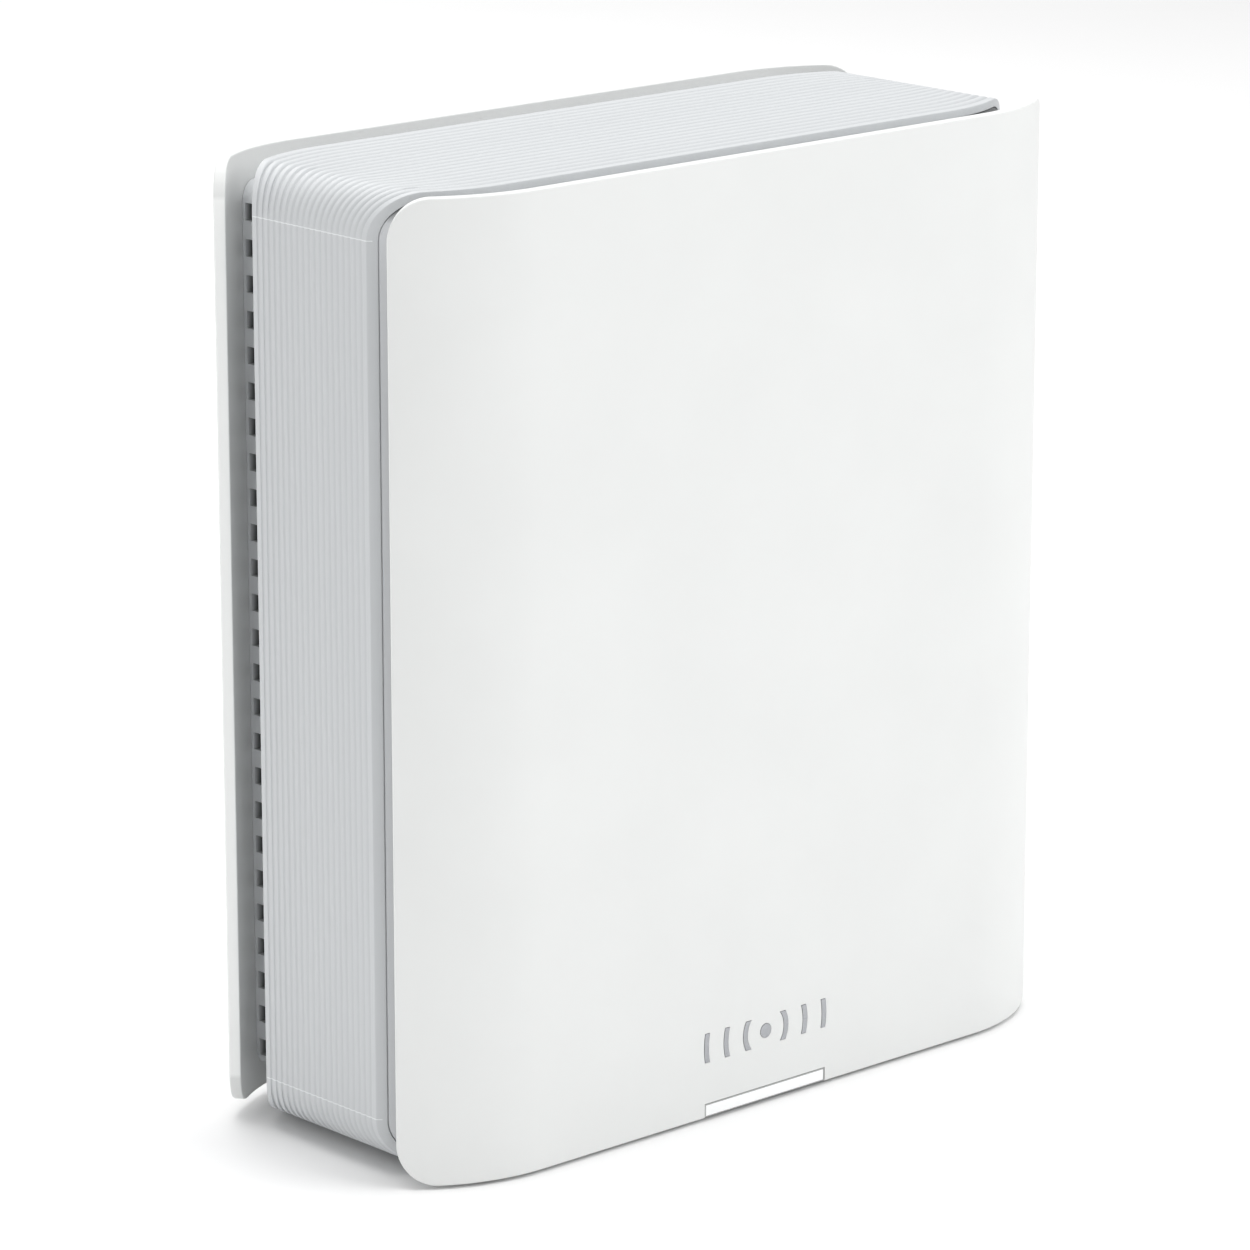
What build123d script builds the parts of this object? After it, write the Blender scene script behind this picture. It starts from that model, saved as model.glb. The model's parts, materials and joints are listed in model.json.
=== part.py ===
"""Upright wireless router, passively cooled.

Two curved covers, front and rear, stand on the vent frames of a ribbed ring-shaped body. A chassis
frame clamped between the vent frames carries the main board, the antenna tray and the heat sinks.
Millimetres, +Z up, X to the right seen from the front, the front cover faces -Y.
The origin is the middle of the footprint, at the underside of the feet.
"""
import math
import os

from build123d import *

# Covers
DEPTH = 102.4
PANEL_WIDTH = 238.6
PANEL_TOP = 265.0
PANEL_THICKNESS = 3.2
FLAT_HALF = 81.8
END_ANGLE = 46.8
PANEL_CORNER = 11.5
PANEL_EDGE = 0.5
FOOT_DROP = 1.0
REAR_FOOT_DROP = 4.0
BOSS_RADIUS = 3.4
BOSS_SINK = 0.4
BOSS_FOOT_Y = -38.2
BOSS_HOLE_Y = -43.5
COVER_SCREW_INSET = 8.0
COVER_SCREW_RISES = (-96.0, 0.0, 96.0)
COVER_SCREW_TIP_Y = -43.0

# Ribbed body
BODY_WIDTH = 231.6
BODY_BOTTOM = 2.6
BODY_TOP = 264.5
BODY_CORNER = 12.5
BODY_WALL = 1.6
RIM_Y = 37.4
SIDE_Y = 23.0
RIB_COUNT = 20
RIB_DEPTH = 0.7
RIB_SHARE = 0.62
RIB_ROOT = 0.2
RAIL_DEPTH = 4.4
RAIL_THICKNESS = 1.4
RAIL_HEIGHT = 30.0
RAIL_GAP = 0.8

# Vent frames
FLANGE_THICKNESS = 2.4
FLANGE_CLEARANCE = 0.3
NECK_INSET = 12.6
NECK_INSET_Z = 7.8
NECK_WALL = 2.4
NECK_CORNER = 6.0
VENT_COUNT = 25
VENT_PITCH = 9.67
VENT_WIDTH = 5.6
VENT_HEIGHT = 4.8
VENT_CENTRE_Z = 133.0
VENT_EDGE = 1.4
FLANGE_SINK = 0.4
CLEARANCE = 0.2
LUG_WIDTH = 13.0
LUG_HEIGHT = 11.0
LUG_OFFSET = 1.5
LUG_FRONT_Y = -38.0
LUG_BACK_Y = -35.8

# Chassis, board and tray
CHASSIS_Y = 14.0
CHASSIS_THICKNESS = 4.0
CHASSIS_WIDTH = 223.0
CHASSIS_BAR = 15.0
CHASSIS_UPRIGHT = 16.0
CHASSIS_SCREW_DEPTH = 8.0
BOARD_WIDTH = 200.0
BOARD_HEIGHT = 232.0
BOARD_THICKNESS = 1.6
CHASSIS_CORNER = 8.0
CHASSIS_MARGIN = 6.0
CHASSIS_GAP = 6.0
CHASSIS_OPENING_CORNER = 5.0
BOARD_CORNER = 2.0
BOARD_SCREW_X = 96.5
BOARD_SCREW_RISES = (-108.0, -36.0, 36.0, 108.0)
TRAY_Y = -29.0
TRAY_THICKNESS = 2.0
TRAY_SCREW_X = 95.5
TRAY_SCREW_RISE = 70.0
TRAY_SCREW_DEPTH = 3.0
ARM_X = 98.5
ARM_WIDTH = 14.0
ARM_HEIGHT = 9.0
ARM_DEPTH = 4.6
POST_RADIUS = 3.6
POST_X = 105.6
POST_RISE = 112.0
SCREW_SEAT_Y = 27.5
SCREW_RADIUS = 1.25
SCREW_HEAD_RADIUS = 2.4
SCREW_HEAD = 1.6
SCREW_SLOT = 0.6
FIT = 0.05

# Packages and heat sinks
PROCESSOR_Z = 133.0
PROCESSOR_SIZE = 21.0
PROCESSOR_THICKNESS = 1.8
CHIP_THICKNESS = 1.4
CHIP_EDGE = 0.3
MEMORY_SIZES = ((24.0, 140.0, 9.0, 14.0), (24.0, 122.0, 9.0, 14.0), (-24.0, 124.0, 12.0, 18.0))
RADIO_X = (-66.0, -22.0, 22.0, 66.0)
RADIO_Z = 205.0
RADIO_SIZE = 13.0
CAN_WIDTH = 38.0
CAN_HEIGHT = 40.0
CAN_DEPTH = 3.0
CAN_SHEET = 0.4
CAN_CORNER = 1.5
PAD_SIZE = 26.0
PAD_CORNER = 0.5
REAR_PAD_THICKNESS = 1.0
FRONT_SINK_BACK = 13.4
FRONT_SINK_FRONT = -20.0
FRONT_SINK_Z = 160.0
FRONT_SINK_WIDTH = 176.0
FRONT_SINK_HEIGHT = 140.0
FRONT_FIN_COUNT = 23
FRONT_FIN_PITCH = 7.6
REAR_SINK_Z = 170.0
REAR_SINK_WIDTH = 164.0
REAR_SINK_HEIGHT = 120.0
REAR_SINK_BACK = 40.0
REAR_FIN_COUNT = 21
REAR_FIN_PITCH = 7.8
SINK_BASE = 3.0
SINK_CORNER = 2.0
FIN_THICKNESS = 1.4
FIN_MARGIN = 2.0
TRANSFORMER_Z = 66.0
TRANSFORMER_WIDTH = 14.0
TRANSFORMER_HEIGHT = 12.0
TRANSFORMER_THICKNESS = 3.6
CAPACITOR_X = (74.0, 62.0, 50.0)
CAPACITOR_Z = 66.0
CAPACITOR_RADIUS = 4.0
CAPACITOR_LENGTH = 11.0
CAPACITOR_EDGE = 0.6

# Antennas
TRAY_WIDTH = 197.0
TRAY_HEIGHT = 222.0
TRAY_CORNER = 6.0
TRAY_OPENING_WIDTH = 130.0
TRAY_OPENING_HEIGHT = 150.0
TRAY_OPENING_RISE = 4.0
TRAY_OPENING_CORNER = 8.0
UPRIGHT_ANTENNA_X = 77.0
UPRIGHT_ANTENNA_RISES = (-62.0, 64.0)
LYING_ANTENNA_X = 36.0
LYING_ANTENNA_RISES = (-90.0, 96.0)
ANTENNA_LENGTH = 44.0
ANTENNA_WIDTH = 16.0
ANTENNA_THICKNESS = 0.8
RADIATOR_THICKNESS = 0.3
RADIATOR_MARGIN = 4.0
PLUG_X = (-78.0, -66.0, -34.0, -22.0, 22.0, 34.0, 66.0, 78.0)
PLUG_Z = 232.0
PLUG_RADIUS = 1.6
PLUG_LENGTH = 2.2

# Sockets and controls at the back
WINDOW_WIDTH = 160.0
WINDOW_HEIGHT = 44.0
WINDOW_Z = 45.0
WINDOW_CORNER = 6.0
PORT_PLATE_Y = 43.0
PORT_PLATE_THICKNESS = 2.0
PORT_RIM_Y = 47.4
PORT_Z = 43.0
JACK_WIDTH = 16.2
JACK_HEIGHT = 13.6
JACK_PITCH = 19.2
JACK_COUNT = 4
FIRST_JACK_X = 13.0
USB_X = 34.5
SWITCH_X = 52.5
INLET_X = 69.5
BUTTON_X = -65.0
BUTTON_Z = 51.0
RESET_Z = 35.5
PLATE_MARGIN_X = 7.5
PLATE_MARGIN_Z = 4.0
PLATE_CORNER = 5.0
PLATE_SCREW_RISE = 14.0
PLATE_SCREW_TIP_Y = 50.0
HOLE_GAP = 0.2

# Network sockets
JACK_SINK = 0.2
JACK_EDGE = 0.3
MOUTH_WIDTH = 12.0
MOUTH_HEIGHT = 8.0
MOUTH_DROP = 0.6
MOUTH_DEPTH = 15.0
LATCH_DEPTH = 12.0
LATCH_WIDTH = 6.2
LATCH_HEIGHT = 2.6
LATCH_RISE = 4.2
LATCH_TIP_WIDTH = 3.4
LATCH_TIP_HEIGHT = 1.0
LATCH_TIP_RISE = 5.6
CONTACT_COUNT = 8
CONTACT_PITCH = 1.02
CONTACT_WIDTH = 0.4
CONTACT_HEIGHT = 0.5
CONTACT_DROP = 4.0
CONTACT_BACK = 14.5
CONTACT_FRONT = 3.0

# USB socket and power inlet
USB_WIDTH = 14.6
USB_HEIGHT = 7.2
USB_SHEET = 0.9
USB_DEPTH = 10.0
USB_RIM = 0.6
USB_EDGE = 0.4
TONGUE_WIDTH = 10.6
TONGUE_HEIGHT = 1.8
TONGUE_RISE = 1.2
INLET_WIDTH = 10.6
INLET_HEIGHT = 11.2
INLET_CORNER = 1.0
INLET_SINK = 0.1
INLET_RADIUS = 3.2
INLET_DEPTH = 9.5
INLET_PIN_RADIUS = 1.0

# Power switch
SWITCH_WIDTH = 10.4
SWITCH_HEIGHT = 15.4
SWITCH_EDGE = 0.4
SWITCH_FLANGE = 0.8
SWITCH_FLANGE_THICKNESS = 0.7
POCKET_WIDTH = 7.2
POCKET_HEIGHT = 13.0
POCKET_DEPTH = 6.5
ROCKER_TILT = 9.0
ROCKER_WIDTH = 6.6
ROCKER_CREST = 2.9
ROCKER_TIP = 5.6
ROCKER_SHOULDER = 1.9
ROCKER_FOOT_Y = -2.2
ROCKER_FOOT_HALF = 2.4
ROCKER_DISH = 0.9
PIVOT_RADIUS = 1.0
PIVOT_LENGTH = 8.8
PIVOT_BORE_LENGTH = 9.0

# Push buttons
CAP_RADIUS = 3.5
CAP_HOLE_RADIUS = 3.7
CAP_ROOT = 2.0
CAP_RISE = 1.4
CAP_EDGE = 0.5
COLLAR_FRONT = 1.4
COLLAR_BACK = 0.3
PAIRING_COLLAR_RADIUS = 4.6
PAIRING_STEM_RADIUS = 1.5
RESET_COLLAR_RADIUS = 2.4
RESET_STEM_RADIUS = 1.1
RESET_HOLE_RADIUS = 1.3
RESET_SINK = 1.0
STEM_FOOT = 6.3
TACT_SIZE = 6.0
TACT_EDGE = 0.3
TACT_HEIGHT = 3.8
TACT_STEM_RADIUS = 1.6
TACT_STEM_END = 5.0

# Foot and badge
LIGHT_WIDTH = 45.7
LIGHT_HEIGHT = 4.1
LIGHT_GAP = 0.15
LIGHT_SINK = 0.1
LIGHT_EDGE = 0.4
LIGHT_TONGUE = 1.2
LIGHT_TONGUE_MARGIN = 4.0
LIGHT_TONGUE_HEIGHT = 5.6
LIGHT_TONGUE_RISE = 0.5
LIGHT_BOARD_Y = -43.4
LIGHT_BOARD_Z = 43.0
LIGHT_BOARD_WIDTH = 52.0
LIGHT_BOARD_HEIGHT = 12.0
LIGHT_BOARD_THICKNESS = 1.0
LIGHT_SCREW_X = 22.5
LIGHT_SCREW_TIP_Y = -46.8
LIGHT_BOSS_RADIUS = 2.2
LIGHT_BOSS_LENGTH = 5.0
LED_X = (-15.0, -5.0, 5.0, 15.0)
LED_SIZE = 3.0
LED_THICKNESS = 1.1
LED_DROP = 3.2
GUIDE_BACK_Y = -43.3
GUIDE_FRONT_Y = -44.9
GUIDE_FOOT_FRONT_Y = -46.6
GUIDE_RISE = 22.0
GUIDE_HEIGHT = 26.0
GUIDE_FOOT_RISE = 6.6
GUIDE_FOOT_HEIGHT = 4.8
GUIDE_SLOT_FRONT_Y = -45.3
GUIDE_SLOT_BACK_Y = -42.9
BADGE_Z = 21.0
BADGE_THICKNESS = 0.4
BADGE_STEP = 7.3
BADGE_STROKE = 1.6
BADGE_HEIGHT = 8.2
BADGE_DOT = 2.0
BADGE_FIRST = 0.4
BADGE_ARCS = 3
FOOT_X = 84.0
FOOT_Y = 24.0
FOOT_LENGTH = 30.0
FOOT_WIDTH = 12.0
FOOT_SINK = 1.4
FOOT_GAP = 0.2
FOOT_CORNER = 3.0
FOOT_EDGE = 0.5
LABEL_LENGTH = 90.0
LABEL_WIDTH = 30.0
LABEL_SINK = 1.1
LABEL_CORNER = 2.0

# Worked out from the above
END_RADIUS = (PANEL_WIDTH / 2 - FLAT_HALF) / math.sin(math.radians(END_ANGLE))
BODY_HEIGHT = BODY_TOP - BODY_BOTTOM
BODY_MID_Z = (BODY_TOP + BODY_BOTTOM) / 2
BOARD_Y = CHASSIS_Y + CHASSIS_THICKNESS
BOARD_BACK = BOARD_Y + BOARD_THICKNESS
PORT_FACE = PORT_PLATE_Y + PORT_PLATE_THICKNESS
ROCKER_PIVOT_Y = PORT_FACE - 2.4
NECK_X = BODY_WIDTH / 2 - NECK_INSET
POST_Z = (BODY_MID_Z - POST_RISE, BODY_MID_Z + POST_RISE)

# Cutters reach past the body by this much
BEYOND = 10.0
LAYER = 200.0
BROAD = 400.0


def upright(edges):
    """Upright solid on a closed list of edges, through the body's whole height and beyond."""
    return Pos(0, 0, -BEYOND) * extrude(make_face(Wire(edges)), BODY_TOP + 2 * BEYOND)


def cover_point(inset, angle, side):
    """Point of the cover's plan curve, moved inwards by inset, at an angle along its end arc."""
    turn = math.radians(angle)
    reach = END_RADIUS - inset
    x = FLAT_HALF + reach * math.sin(turn)
    y = -DEPTH / 2 + END_RADIUS - reach * math.cos(turn)
    return (side * x, y)


def cover_plan(outer, inner):
    """Edges of the front cover's plan between two insets from its outer face."""
    edges = []
    for inset in (outer, inner):
        edges.append(Line(cover_point(inset, 0, -1), cover_point(inset, 0, 1)))
        for side in (-1, 1):
            start, middle, end = (cover_point(inset, a, side) for a in (0, END_ANGLE / 2, END_ANGLE))
            edges.append(ThreePointArc(start, middle, end))
    for side in (-1, 1):
        edges.append(Line(cover_point(outer, END_ANGLE, side), cover_point(inner, END_ANGLE, side)))
    return edges


def layer_edges(share):
    """Edges and ends of the plan curve of one body layer, from -1 at the front rim to 1 at the rear."""
    middle_y = share * RIM_Y
    half = BODY_WIDTH / 2 - FLAT_HALF
    drop = abs(share) * (RIM_Y - SIDE_Y)
    radius = (half ** 2 + drop ** 2) / (2 * drop)
    sign = math.copysign(1, share)
    reach = BODY_WIDTH / 2 + 1.0

    def at(x):
        run = x - FLAT_HALF
        return middle_y - sign * (radius - math.sqrt(radius ** 2 - run ** 2))

    middle_x = (FLAT_HALF + reach) / 2
    edges = [Line((-FLAT_HALF, middle_y), (FLAT_HALF, middle_y))]
    for side in (-1, 1):
        edges.append(ThreePointArc((side * FLAT_HALF, middle_y), (side * middle_x, at(middle_x)),
                                   (side * reach, at(reach))))
    return edges, ((-reach, at(reach)), (reach, at(reach)))


def layer_strip(front, rear):
    """Upright solid between two layers of the body."""
    front_edges, front_ends = layer_edges(front)
    rear_edges, rear_ends = layer_edges(rear)
    sides = [Line(start, end) for start, end in zip(front_ends, rear_ends)]
    return upright(front_edges + rear_edges + sides)


def shifted_strip(front_shift, rear_shift):
    """Upright solid between two copies of the front rim's curve, moved along Y."""
    edges, ends = layer_edges(-1)
    front = [Pos(0, front_shift) * edge for edge in edges]
    rear = [Pos(0, rear_shift) * edge for edge in edges]
    sides = [Line((x, y + front_shift), (x, y + rear_shift)) for x, y in ends]
    return upright(front + rear + sides)


def bar(x, z, width, height, corner, y_from, y_to):
    """Bar along Y with a rounded rectangular section, between two depths."""
    profile = RectangleRounded(width, height, corner) if corner else Rectangle(width, height)
    return Plane.XZ.offset(-y_to) * Pos(x, z) * extrude(profile, y_to - y_from)


def rod(x, z, radius, y_from, y_to):
    """Round rod along Y between two depths."""
    return Plane.XZ.offset(-y_to) * Pos(x, z) * extrude(Circle(radius), y_to - y_from)


def body_bar(inset, y_from=-LAYER / 2, y_to=LAYER / 2):
    """Bar with the body's outline, made smaller all round by inset."""
    return bar(0, BODY_MID_Z, BODY_WIDTH - 2 * inset, BODY_HEIGHT - 2 * inset,
               max(BODY_CORNER - inset, 2.0), y_from, y_to)


def neck_bar(inset):
    """Bar with the outline of the neck that carries a cover, made smaller by inset."""
    return bar(0, BODY_MID_Z, 2 * (NECK_X - inset), BODY_HEIGHT - 2 * (NECK_INSET_Z + inset),
               NECK_CORNER - inset, -LAYER / 2, LAYER / 2)


def at_posts(make):
    """The same piece at each of the four post positions."""
    return [make(side * POST_X, z) for side in (-1, 1) for z in POST_Z]


def screw(x, z, y_seat, y_tip):
    """Pan-head screw along Y, with its head seated at y_seat and its tip at y_tip."""
    outwards = math.copysign(1, y_seat - y_tip)
    head_end = y_seat + outwards * SCREW_HEAD
    head = rod(x, z, SCREW_HEAD_RADIUS, min(y_seat, head_end), max(y_seat, head_end))
    slot_end = head_end - outwards * SCREW_HEAD / 2
    deep = (min(slot_end, head_end), max(slot_end, head_end))
    slot = bar(x, z, SCREW_HEAD_RADIUS, SCREW_SLOT, 0, *deep)
    cross = bar(x, z, SCREW_SLOT, SCREW_HEAD_RADIUS, 0, *deep)
    return head + rod(x, z, SCREW_RADIUS, min(y_seat, y_tip), max(y_seat, y_tip)) - slot - cross


def screw_hole(x, z, y_from, y_to):
    """Hole for a screw's shank."""
    return rod(x, z, SCREW_RADIUS + FIT, y_from, y_to)


# Covers ---------------------------------------------------------------------------------------


def blank_cover(foot):
    """Cover from a foot height up: a bent sheet with rounded corners and softened edges."""
    plan = make_face(Wire(cover_plan(0, PANEL_THICKNESS)))
    sheet = Pos(0, 0, foot) * extrude(plan, PANEL_TOP - foot)
    across = [edge for edge in sheet.edges() if math.isclose(edge.length, PANEL_THICKNESS, abs_tol=FIT)]
    sheet = fillet([edge for edge in across if abs(edge.center().X) > FLAT_HALF + 1], PANEL_CORNER)
    outer = sheet.faces().sort_by(Axis.Y)[0]
    return chamfer(outer.outer_wire().edges(), PANEL_EDGE)


def cover_screws_at():
    """Positions of the screws that hold a cover to its vent frame."""
    x = NECK_X - COVER_SCREW_INSET
    return [(side * x, BODY_MID_Z + rise) for side in (-1, 1) for rise in COVER_SCREW_RISES]


def cover_with_bosses(foot):
    """Cover, as it stands at the front, with the screw bosses behind it."""
    cover = blank_cover(foot)
    inside = upright(cover_plan(PANEL_THICKNESS - BOSS_SINK, END_RADIUS - BEYOND))
    for x, z in cover_screws_at():
        boss = rod(x, z, BOSS_RADIUS, -DEPTH / 2, BOSS_FOOT_Y) & inside
        cover = cover + boss - screw_hole(x, z, BOSS_HOLE_Y, BOSS_FOOT_Y)
    return cover


def front_panel():
    """Front cover, notched at its foot for the light bar."""
    inner_y = PANEL_THICKNESS - DEPTH / 2
    notch = bar(0, FOOT_DROP, LIGHT_WIDTH, 2 * LIGHT_HEIGHT, 0, -DEPTH / 2 - 1, inner_y + 1)
    cover = cover_with_bosses(FOOT_DROP) - notch - signal_badge()
    for x, z in light_board_screws_at():
        cover = cover + rod(x, z, LIGHT_BOSS_RADIUS, LIGHT_BOARD_Y - LIGHT_BOSS_LENGTH, LIGHT_BOARD_Y)
        cover = cover - screw_hole(x, z, LIGHT_SCREW_TIP_Y - CLEARANCE, LIGHT_BOARD_Y)
    return cover


def rear_panel():
    """Rear cover, a little shorter at the foot, with the window for the sockets."""
    window = bar(0, WINDOW_Z, WINDOW_WIDTH, WINDOW_HEIGHT, WINDOW_CORNER, PORT_FACE, DEPTH / 2 + 1)
    cover = mirror(cover_with_bosses(REAR_FOOT_DROP), Plane.XZ) - window
    for x, z in port_plate_screws_at():
        cover = cover - screw_hole(x, z, PORT_FACE, PLATE_SCREW_TIP_Y + CLEARANCE)
    return cover


def status_light():
    """Clear bar at the foot of the front cover."""
    height = LIGHT_HEIGHT - LIGHT_GAP
    inner_y = PANEL_THICKNESS - DEPTH / 2
    face = bar(0, FOOT_DROP + height / 2, LIGHT_WIDTH - 2 * LIGHT_GAP, height, 0,
               LIGHT_SINK - DEPTH / 2, inner_y)
    tongue = bar(0, FOOT_DROP + LIGHT_HEIGHT + LIGHT_TONGUE_RISE, LIGHT_WIDTH + 2 * LIGHT_TONGUE_MARGIN,
                 LIGHT_TONGUE_HEIGHT, 0, inner_y, inner_y + LIGHT_TONGUE)
    return fillet(face.edges().filter_by(Axis.Z).group_by(Axis.Y)[0], LIGHT_EDGE) + tongue


def light_guide():
    """Light guide that leads from the light board down to the light bar."""
    top = bar(0, FOOT_DROP + GUIDE_RISE, LIGHT_WIDTH - 4, GUIDE_HEIGHT, 0, GUIDE_FRONT_Y, GUIDE_BACK_Y)
    foot = bar(0, FOOT_DROP + GUIDE_FOOT_RISE, LIGHT_WIDTH - 2, GUIDE_FOOT_HEIGHT, 0,
               GUIDE_FOOT_FRONT_Y, GUIDE_BACK_Y)
    return top + foot


def light_board_screws_at():
    """Positions of the two screws of the light board."""
    return [(side * LIGHT_SCREW_X, LIGHT_BOARD_Z) for side in (-1, 1)]


def light_board():
    """Small board with its row of light-emitting diodes, over the light guide."""
    back = LIGHT_BOARD_Y + LIGHT_BOARD_THICKNESS
    board = bar(0, LIGHT_BOARD_Z, LIGHT_BOARD_WIDTH, LIGHT_BOARD_HEIGHT, 1, LIGHT_BOARD_Y, back)
    for x, z in light_board_screws_at():
        board = board - screw_hole(x, z, LIGHT_BOARD_Y, back)
    front = LIGHT_BOARD_Y - LED_THICKNESS
    leds = [bar(x, LIGHT_BOARD_Z - LED_DROP, LED_SIZE, LED_SIZE, 0, front, LIGHT_BOARD_Y) for x in LED_X]
    return [board] + leds


def light_board_screws():
    """Two screws that hold the light board on its bosses."""
    seat = LIGHT_BOARD_Y + LIGHT_BOARD_THICKNESS
    return [screw(x, z, seat, LIGHT_SCREW_TIP_Y) for x, z in light_board_screws_at()]


def signal_badge():
    """Emblem of a dot with three arcs on each side, let in flush with the cover's face."""
    face_y = -DEPTH / 2
    pieces = [rod(0, BADGE_Z, BADGE_DOT, face_y, face_y + BADGE_THICKNESS)]
    for step in range(1, BADGE_ARCS + 1):
        radius = step * BADGE_STEP + BADGE_FIRST
        ring = Circle(radius + BADGE_STROKE / 2) - Circle(radius - BADGE_STROKE / 2)
        arcs = ring & Rectangle(2 * radius + 2 * BADGE_STROKE, BADGE_HEIGHT)
        for arc in arcs.faces():
            place = Plane.XZ.offset(-face_y - BADGE_THICKNESS) * Pos(0, BADGE_Z)
            pieces.append(place * extrude(arc, BADGE_THICKNESS))
    return pieces


# Body -----------------------------------------------------------------------------------------


def body_band():
    """Ring-shaped body with ribs that run round it, from the front rim's curve to the rear's."""
    cavity = body_bar(BODY_WALL + RIB_DEPTH)
    band = (body_bar(RIB_DEPTH) - cavity) & layer_strip(-1, 1)
    outline = body_bar(0) - body_bar(RIB_DEPTH + RIB_ROOT)
    pitch = 2 / RIB_COUNT
    ribs = []
    for index in range(RIB_COUNT):
        middle = -1 + pitch * (index + 0.5)
        half = pitch * RIB_SHARE / 2
        front = -1 if index == 0 else middle - half
        rear = 1 if index == RIB_COUNT - 1 else middle + half
        ribs.append(layer_strip(front, rear) & outline)
    band = band + ribs
    for x, y in feet_at():
        seat = Box(FOOT_LENGTH + 2 * FOOT_GAP, FOOT_WIDTH + 2 * FOOT_GAP, 2 * FOOT_SINK)
        band = band - Pos(x, y, BODY_BOTTOM) * seat
    rail_x = (BODY_WIDTH - RAIL_DEPTH) / 2 - BODY_WALL + RIB_ROOT
    for side in (-1, 1):
        for y in (CHASSIS_Y - RAIL_GAP, BOARD_Y + RAIL_GAP):
            band = band + Pos(side * rail_x, y, BODY_MID_Z) * Box(RAIL_DEPTH, RAIL_THICKNESS, RAIL_HEIGHT)
    seat = Box(LABEL_LENGTH + 2 * FOOT_GAP, LABEL_WIDTH + 2 * FOOT_GAP, 2 * LABEL_SINK)
    return band - Pos(0, 0, BODY_BOTTOM) * seat


def feet_at():
    """Positions of the four feet."""
    return [(side_x * FOOT_X, side_y * FOOT_Y / 2) for side_x in (-1, 1) for side_y in (-1, 1)]


def rubber_feet():
    """Four long rubber pads, seated in the underside of the body."""
    feet = []
    for x, y in feet_at():
        height = BODY_BOTTOM + FOOT_SINK
        pad = Pos(x, y, height / 2) * Box(FOOT_LENGTH, FOOT_WIDTH, height)
        pad = fillet(pad.edges().filter_by(Axis.Z), FOOT_CORNER)
        feet.append(chamfer(pad.faces().sort_by(Axis.Z)[0].edges(), FOOT_EDGE))
    return feet


def rating_plate():
    """Blank label plate in the underside."""
    plate = Pos(0, 0, BODY_BOTTOM + LABEL_SINK / 2) * Box(LABEL_LENGTH, LABEL_WIDTH, LABEL_SINK)
    return fillet(plate.edges().filter_by(Axis.Z), LABEL_CORNER)


def vent_frame_blank():
    """Front vent frame: flange inside the body's rim, and the neck that carries the cover."""
    flange_back = FLANGE_SINK + FLANGE_THICKNESS
    flange = body_bar(BODY_WALL + RIB_DEPTH + FLANGE_CLEARANCE) & shifted_strip(FLANGE_SINK, flange_back)
    flange = flange - neck_bar(NECK_WALL)
    room = upright(cover_plan(PANEL_THICKNESS + CLEARANCE, END_RADIUS - BEYOND))
    neck = (neck_bar(0) - neck_bar(NECK_WALL)) & room & shifted_strip(-DEPTH, flange_back)
    frame = flange + neck
    lug_room = neck_bar(1.0)
    for x, z in cover_screws_at():
        lug_x = math.copysign(abs(x) + LUG_OFFSET, x)
        frame = frame + (bar(lug_x, z, LUG_WIDTH, LUG_HEIGHT, 0, LUG_FRONT_Y, LUG_BACK_Y) & lug_room)
        frame = frame - screw_hole(x, z, LUG_FRONT_Y, LUG_BACK_Y)
    behind_flange = shifted_strip(1.0, DEPTH)
    for post in at_posts(lambda x, z: rod(x, z, POST_RADIUS, -RIM_Y, CHASSIS_Y)):
        frame = frame + (post & behind_flange)
    return frame


def vent_cutter():
    """The row of air holes down one side, as one cutter."""
    outer_y = cover_inner_y(NECK_X) - VENT_EDGE
    holes = []
    for index in range(VENT_COUNT):
        z = VENT_CENTRE_Z + (index - (VENT_COUNT - 1) / 2) * VENT_PITCH
        hole = Box(8 * NECK_WALL, VENT_WIDTH, VENT_HEIGHT)
        for side in (-1, 1):
            holes.append(Pos(side * NECK_X, -outer_y + VENT_WIDTH / 2, z) * hole)
    return holes


def cover_inner_y(x):
    """Distance of the cover's inner face from the middle plane, at x."""
    reach = END_RADIUS - PANEL_THICKNESS
    run = x - FLAT_HALF
    return DEPTH / 2 - END_RADIUS + math.sqrt(reach ** 2 - run ** 2)


def front_vent_frame():
    """Vent frame behind the front cover, with blind holes in its posts for the chassis screws."""
    frame = vent_frame_blank() - vent_cutter()
    for hole in at_posts(lambda x, z: screw_hole(x, z, CHASSIS_Y - CHASSIS_SCREW_DEPTH - 1, CHASSIS_Y)):
        frame = frame - hole
    slot_z = BODY_BOTTOM + NECK_INSET_Z
    frame = frame - bar(0, slot_z, LIGHT_WIDTH - 2, 3 * NECK_WALL, 0, GUIDE_SLOT_FRONT_Y, GUIDE_SLOT_BACK_Y)
    hole_end = TRAY_Y - TRAY_SCREW_DEPTH - CLEARANCE
    for x, z in tray_screws_at():
        arm = bar(math.copysign(ARM_X, x), z, ARM_WIDTH, ARM_HEIGHT, 0, TRAY_Y - ARM_DEPTH, TRAY_Y)
        frame = frame + (arm & neck_bar(1.0)) - screw_hole(x, z, hole_end, TRAY_Y)
    return frame


def rear_vent_frame():
    """Vent frame behind the rear cover; its posts clamp the chassis from the other side."""
    long_frame = vent_frame_blank() - vent_cutter()
    above_chassis = Pos(0, -DEPTH / 2 - BOARD_Y, BODY_MID_Z) * Box(BROAD, DEPTH, BROAD)
    frame = mirror(long_frame & above_chassis, Plane.XZ)
    for hole in at_posts(lambda x, z: screw_hole(x, z, BOARD_Y, SCREW_SEAT_Y)):
        frame = frame - hole
    for pocket in at_posts(lambda x, z: rod(x, z, SCREW_HEAD_RADIUS + CLEARANCE, SCREW_SEAT_Y, RIM_Y)):
        frame = frame - pocket
    return frame


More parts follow.
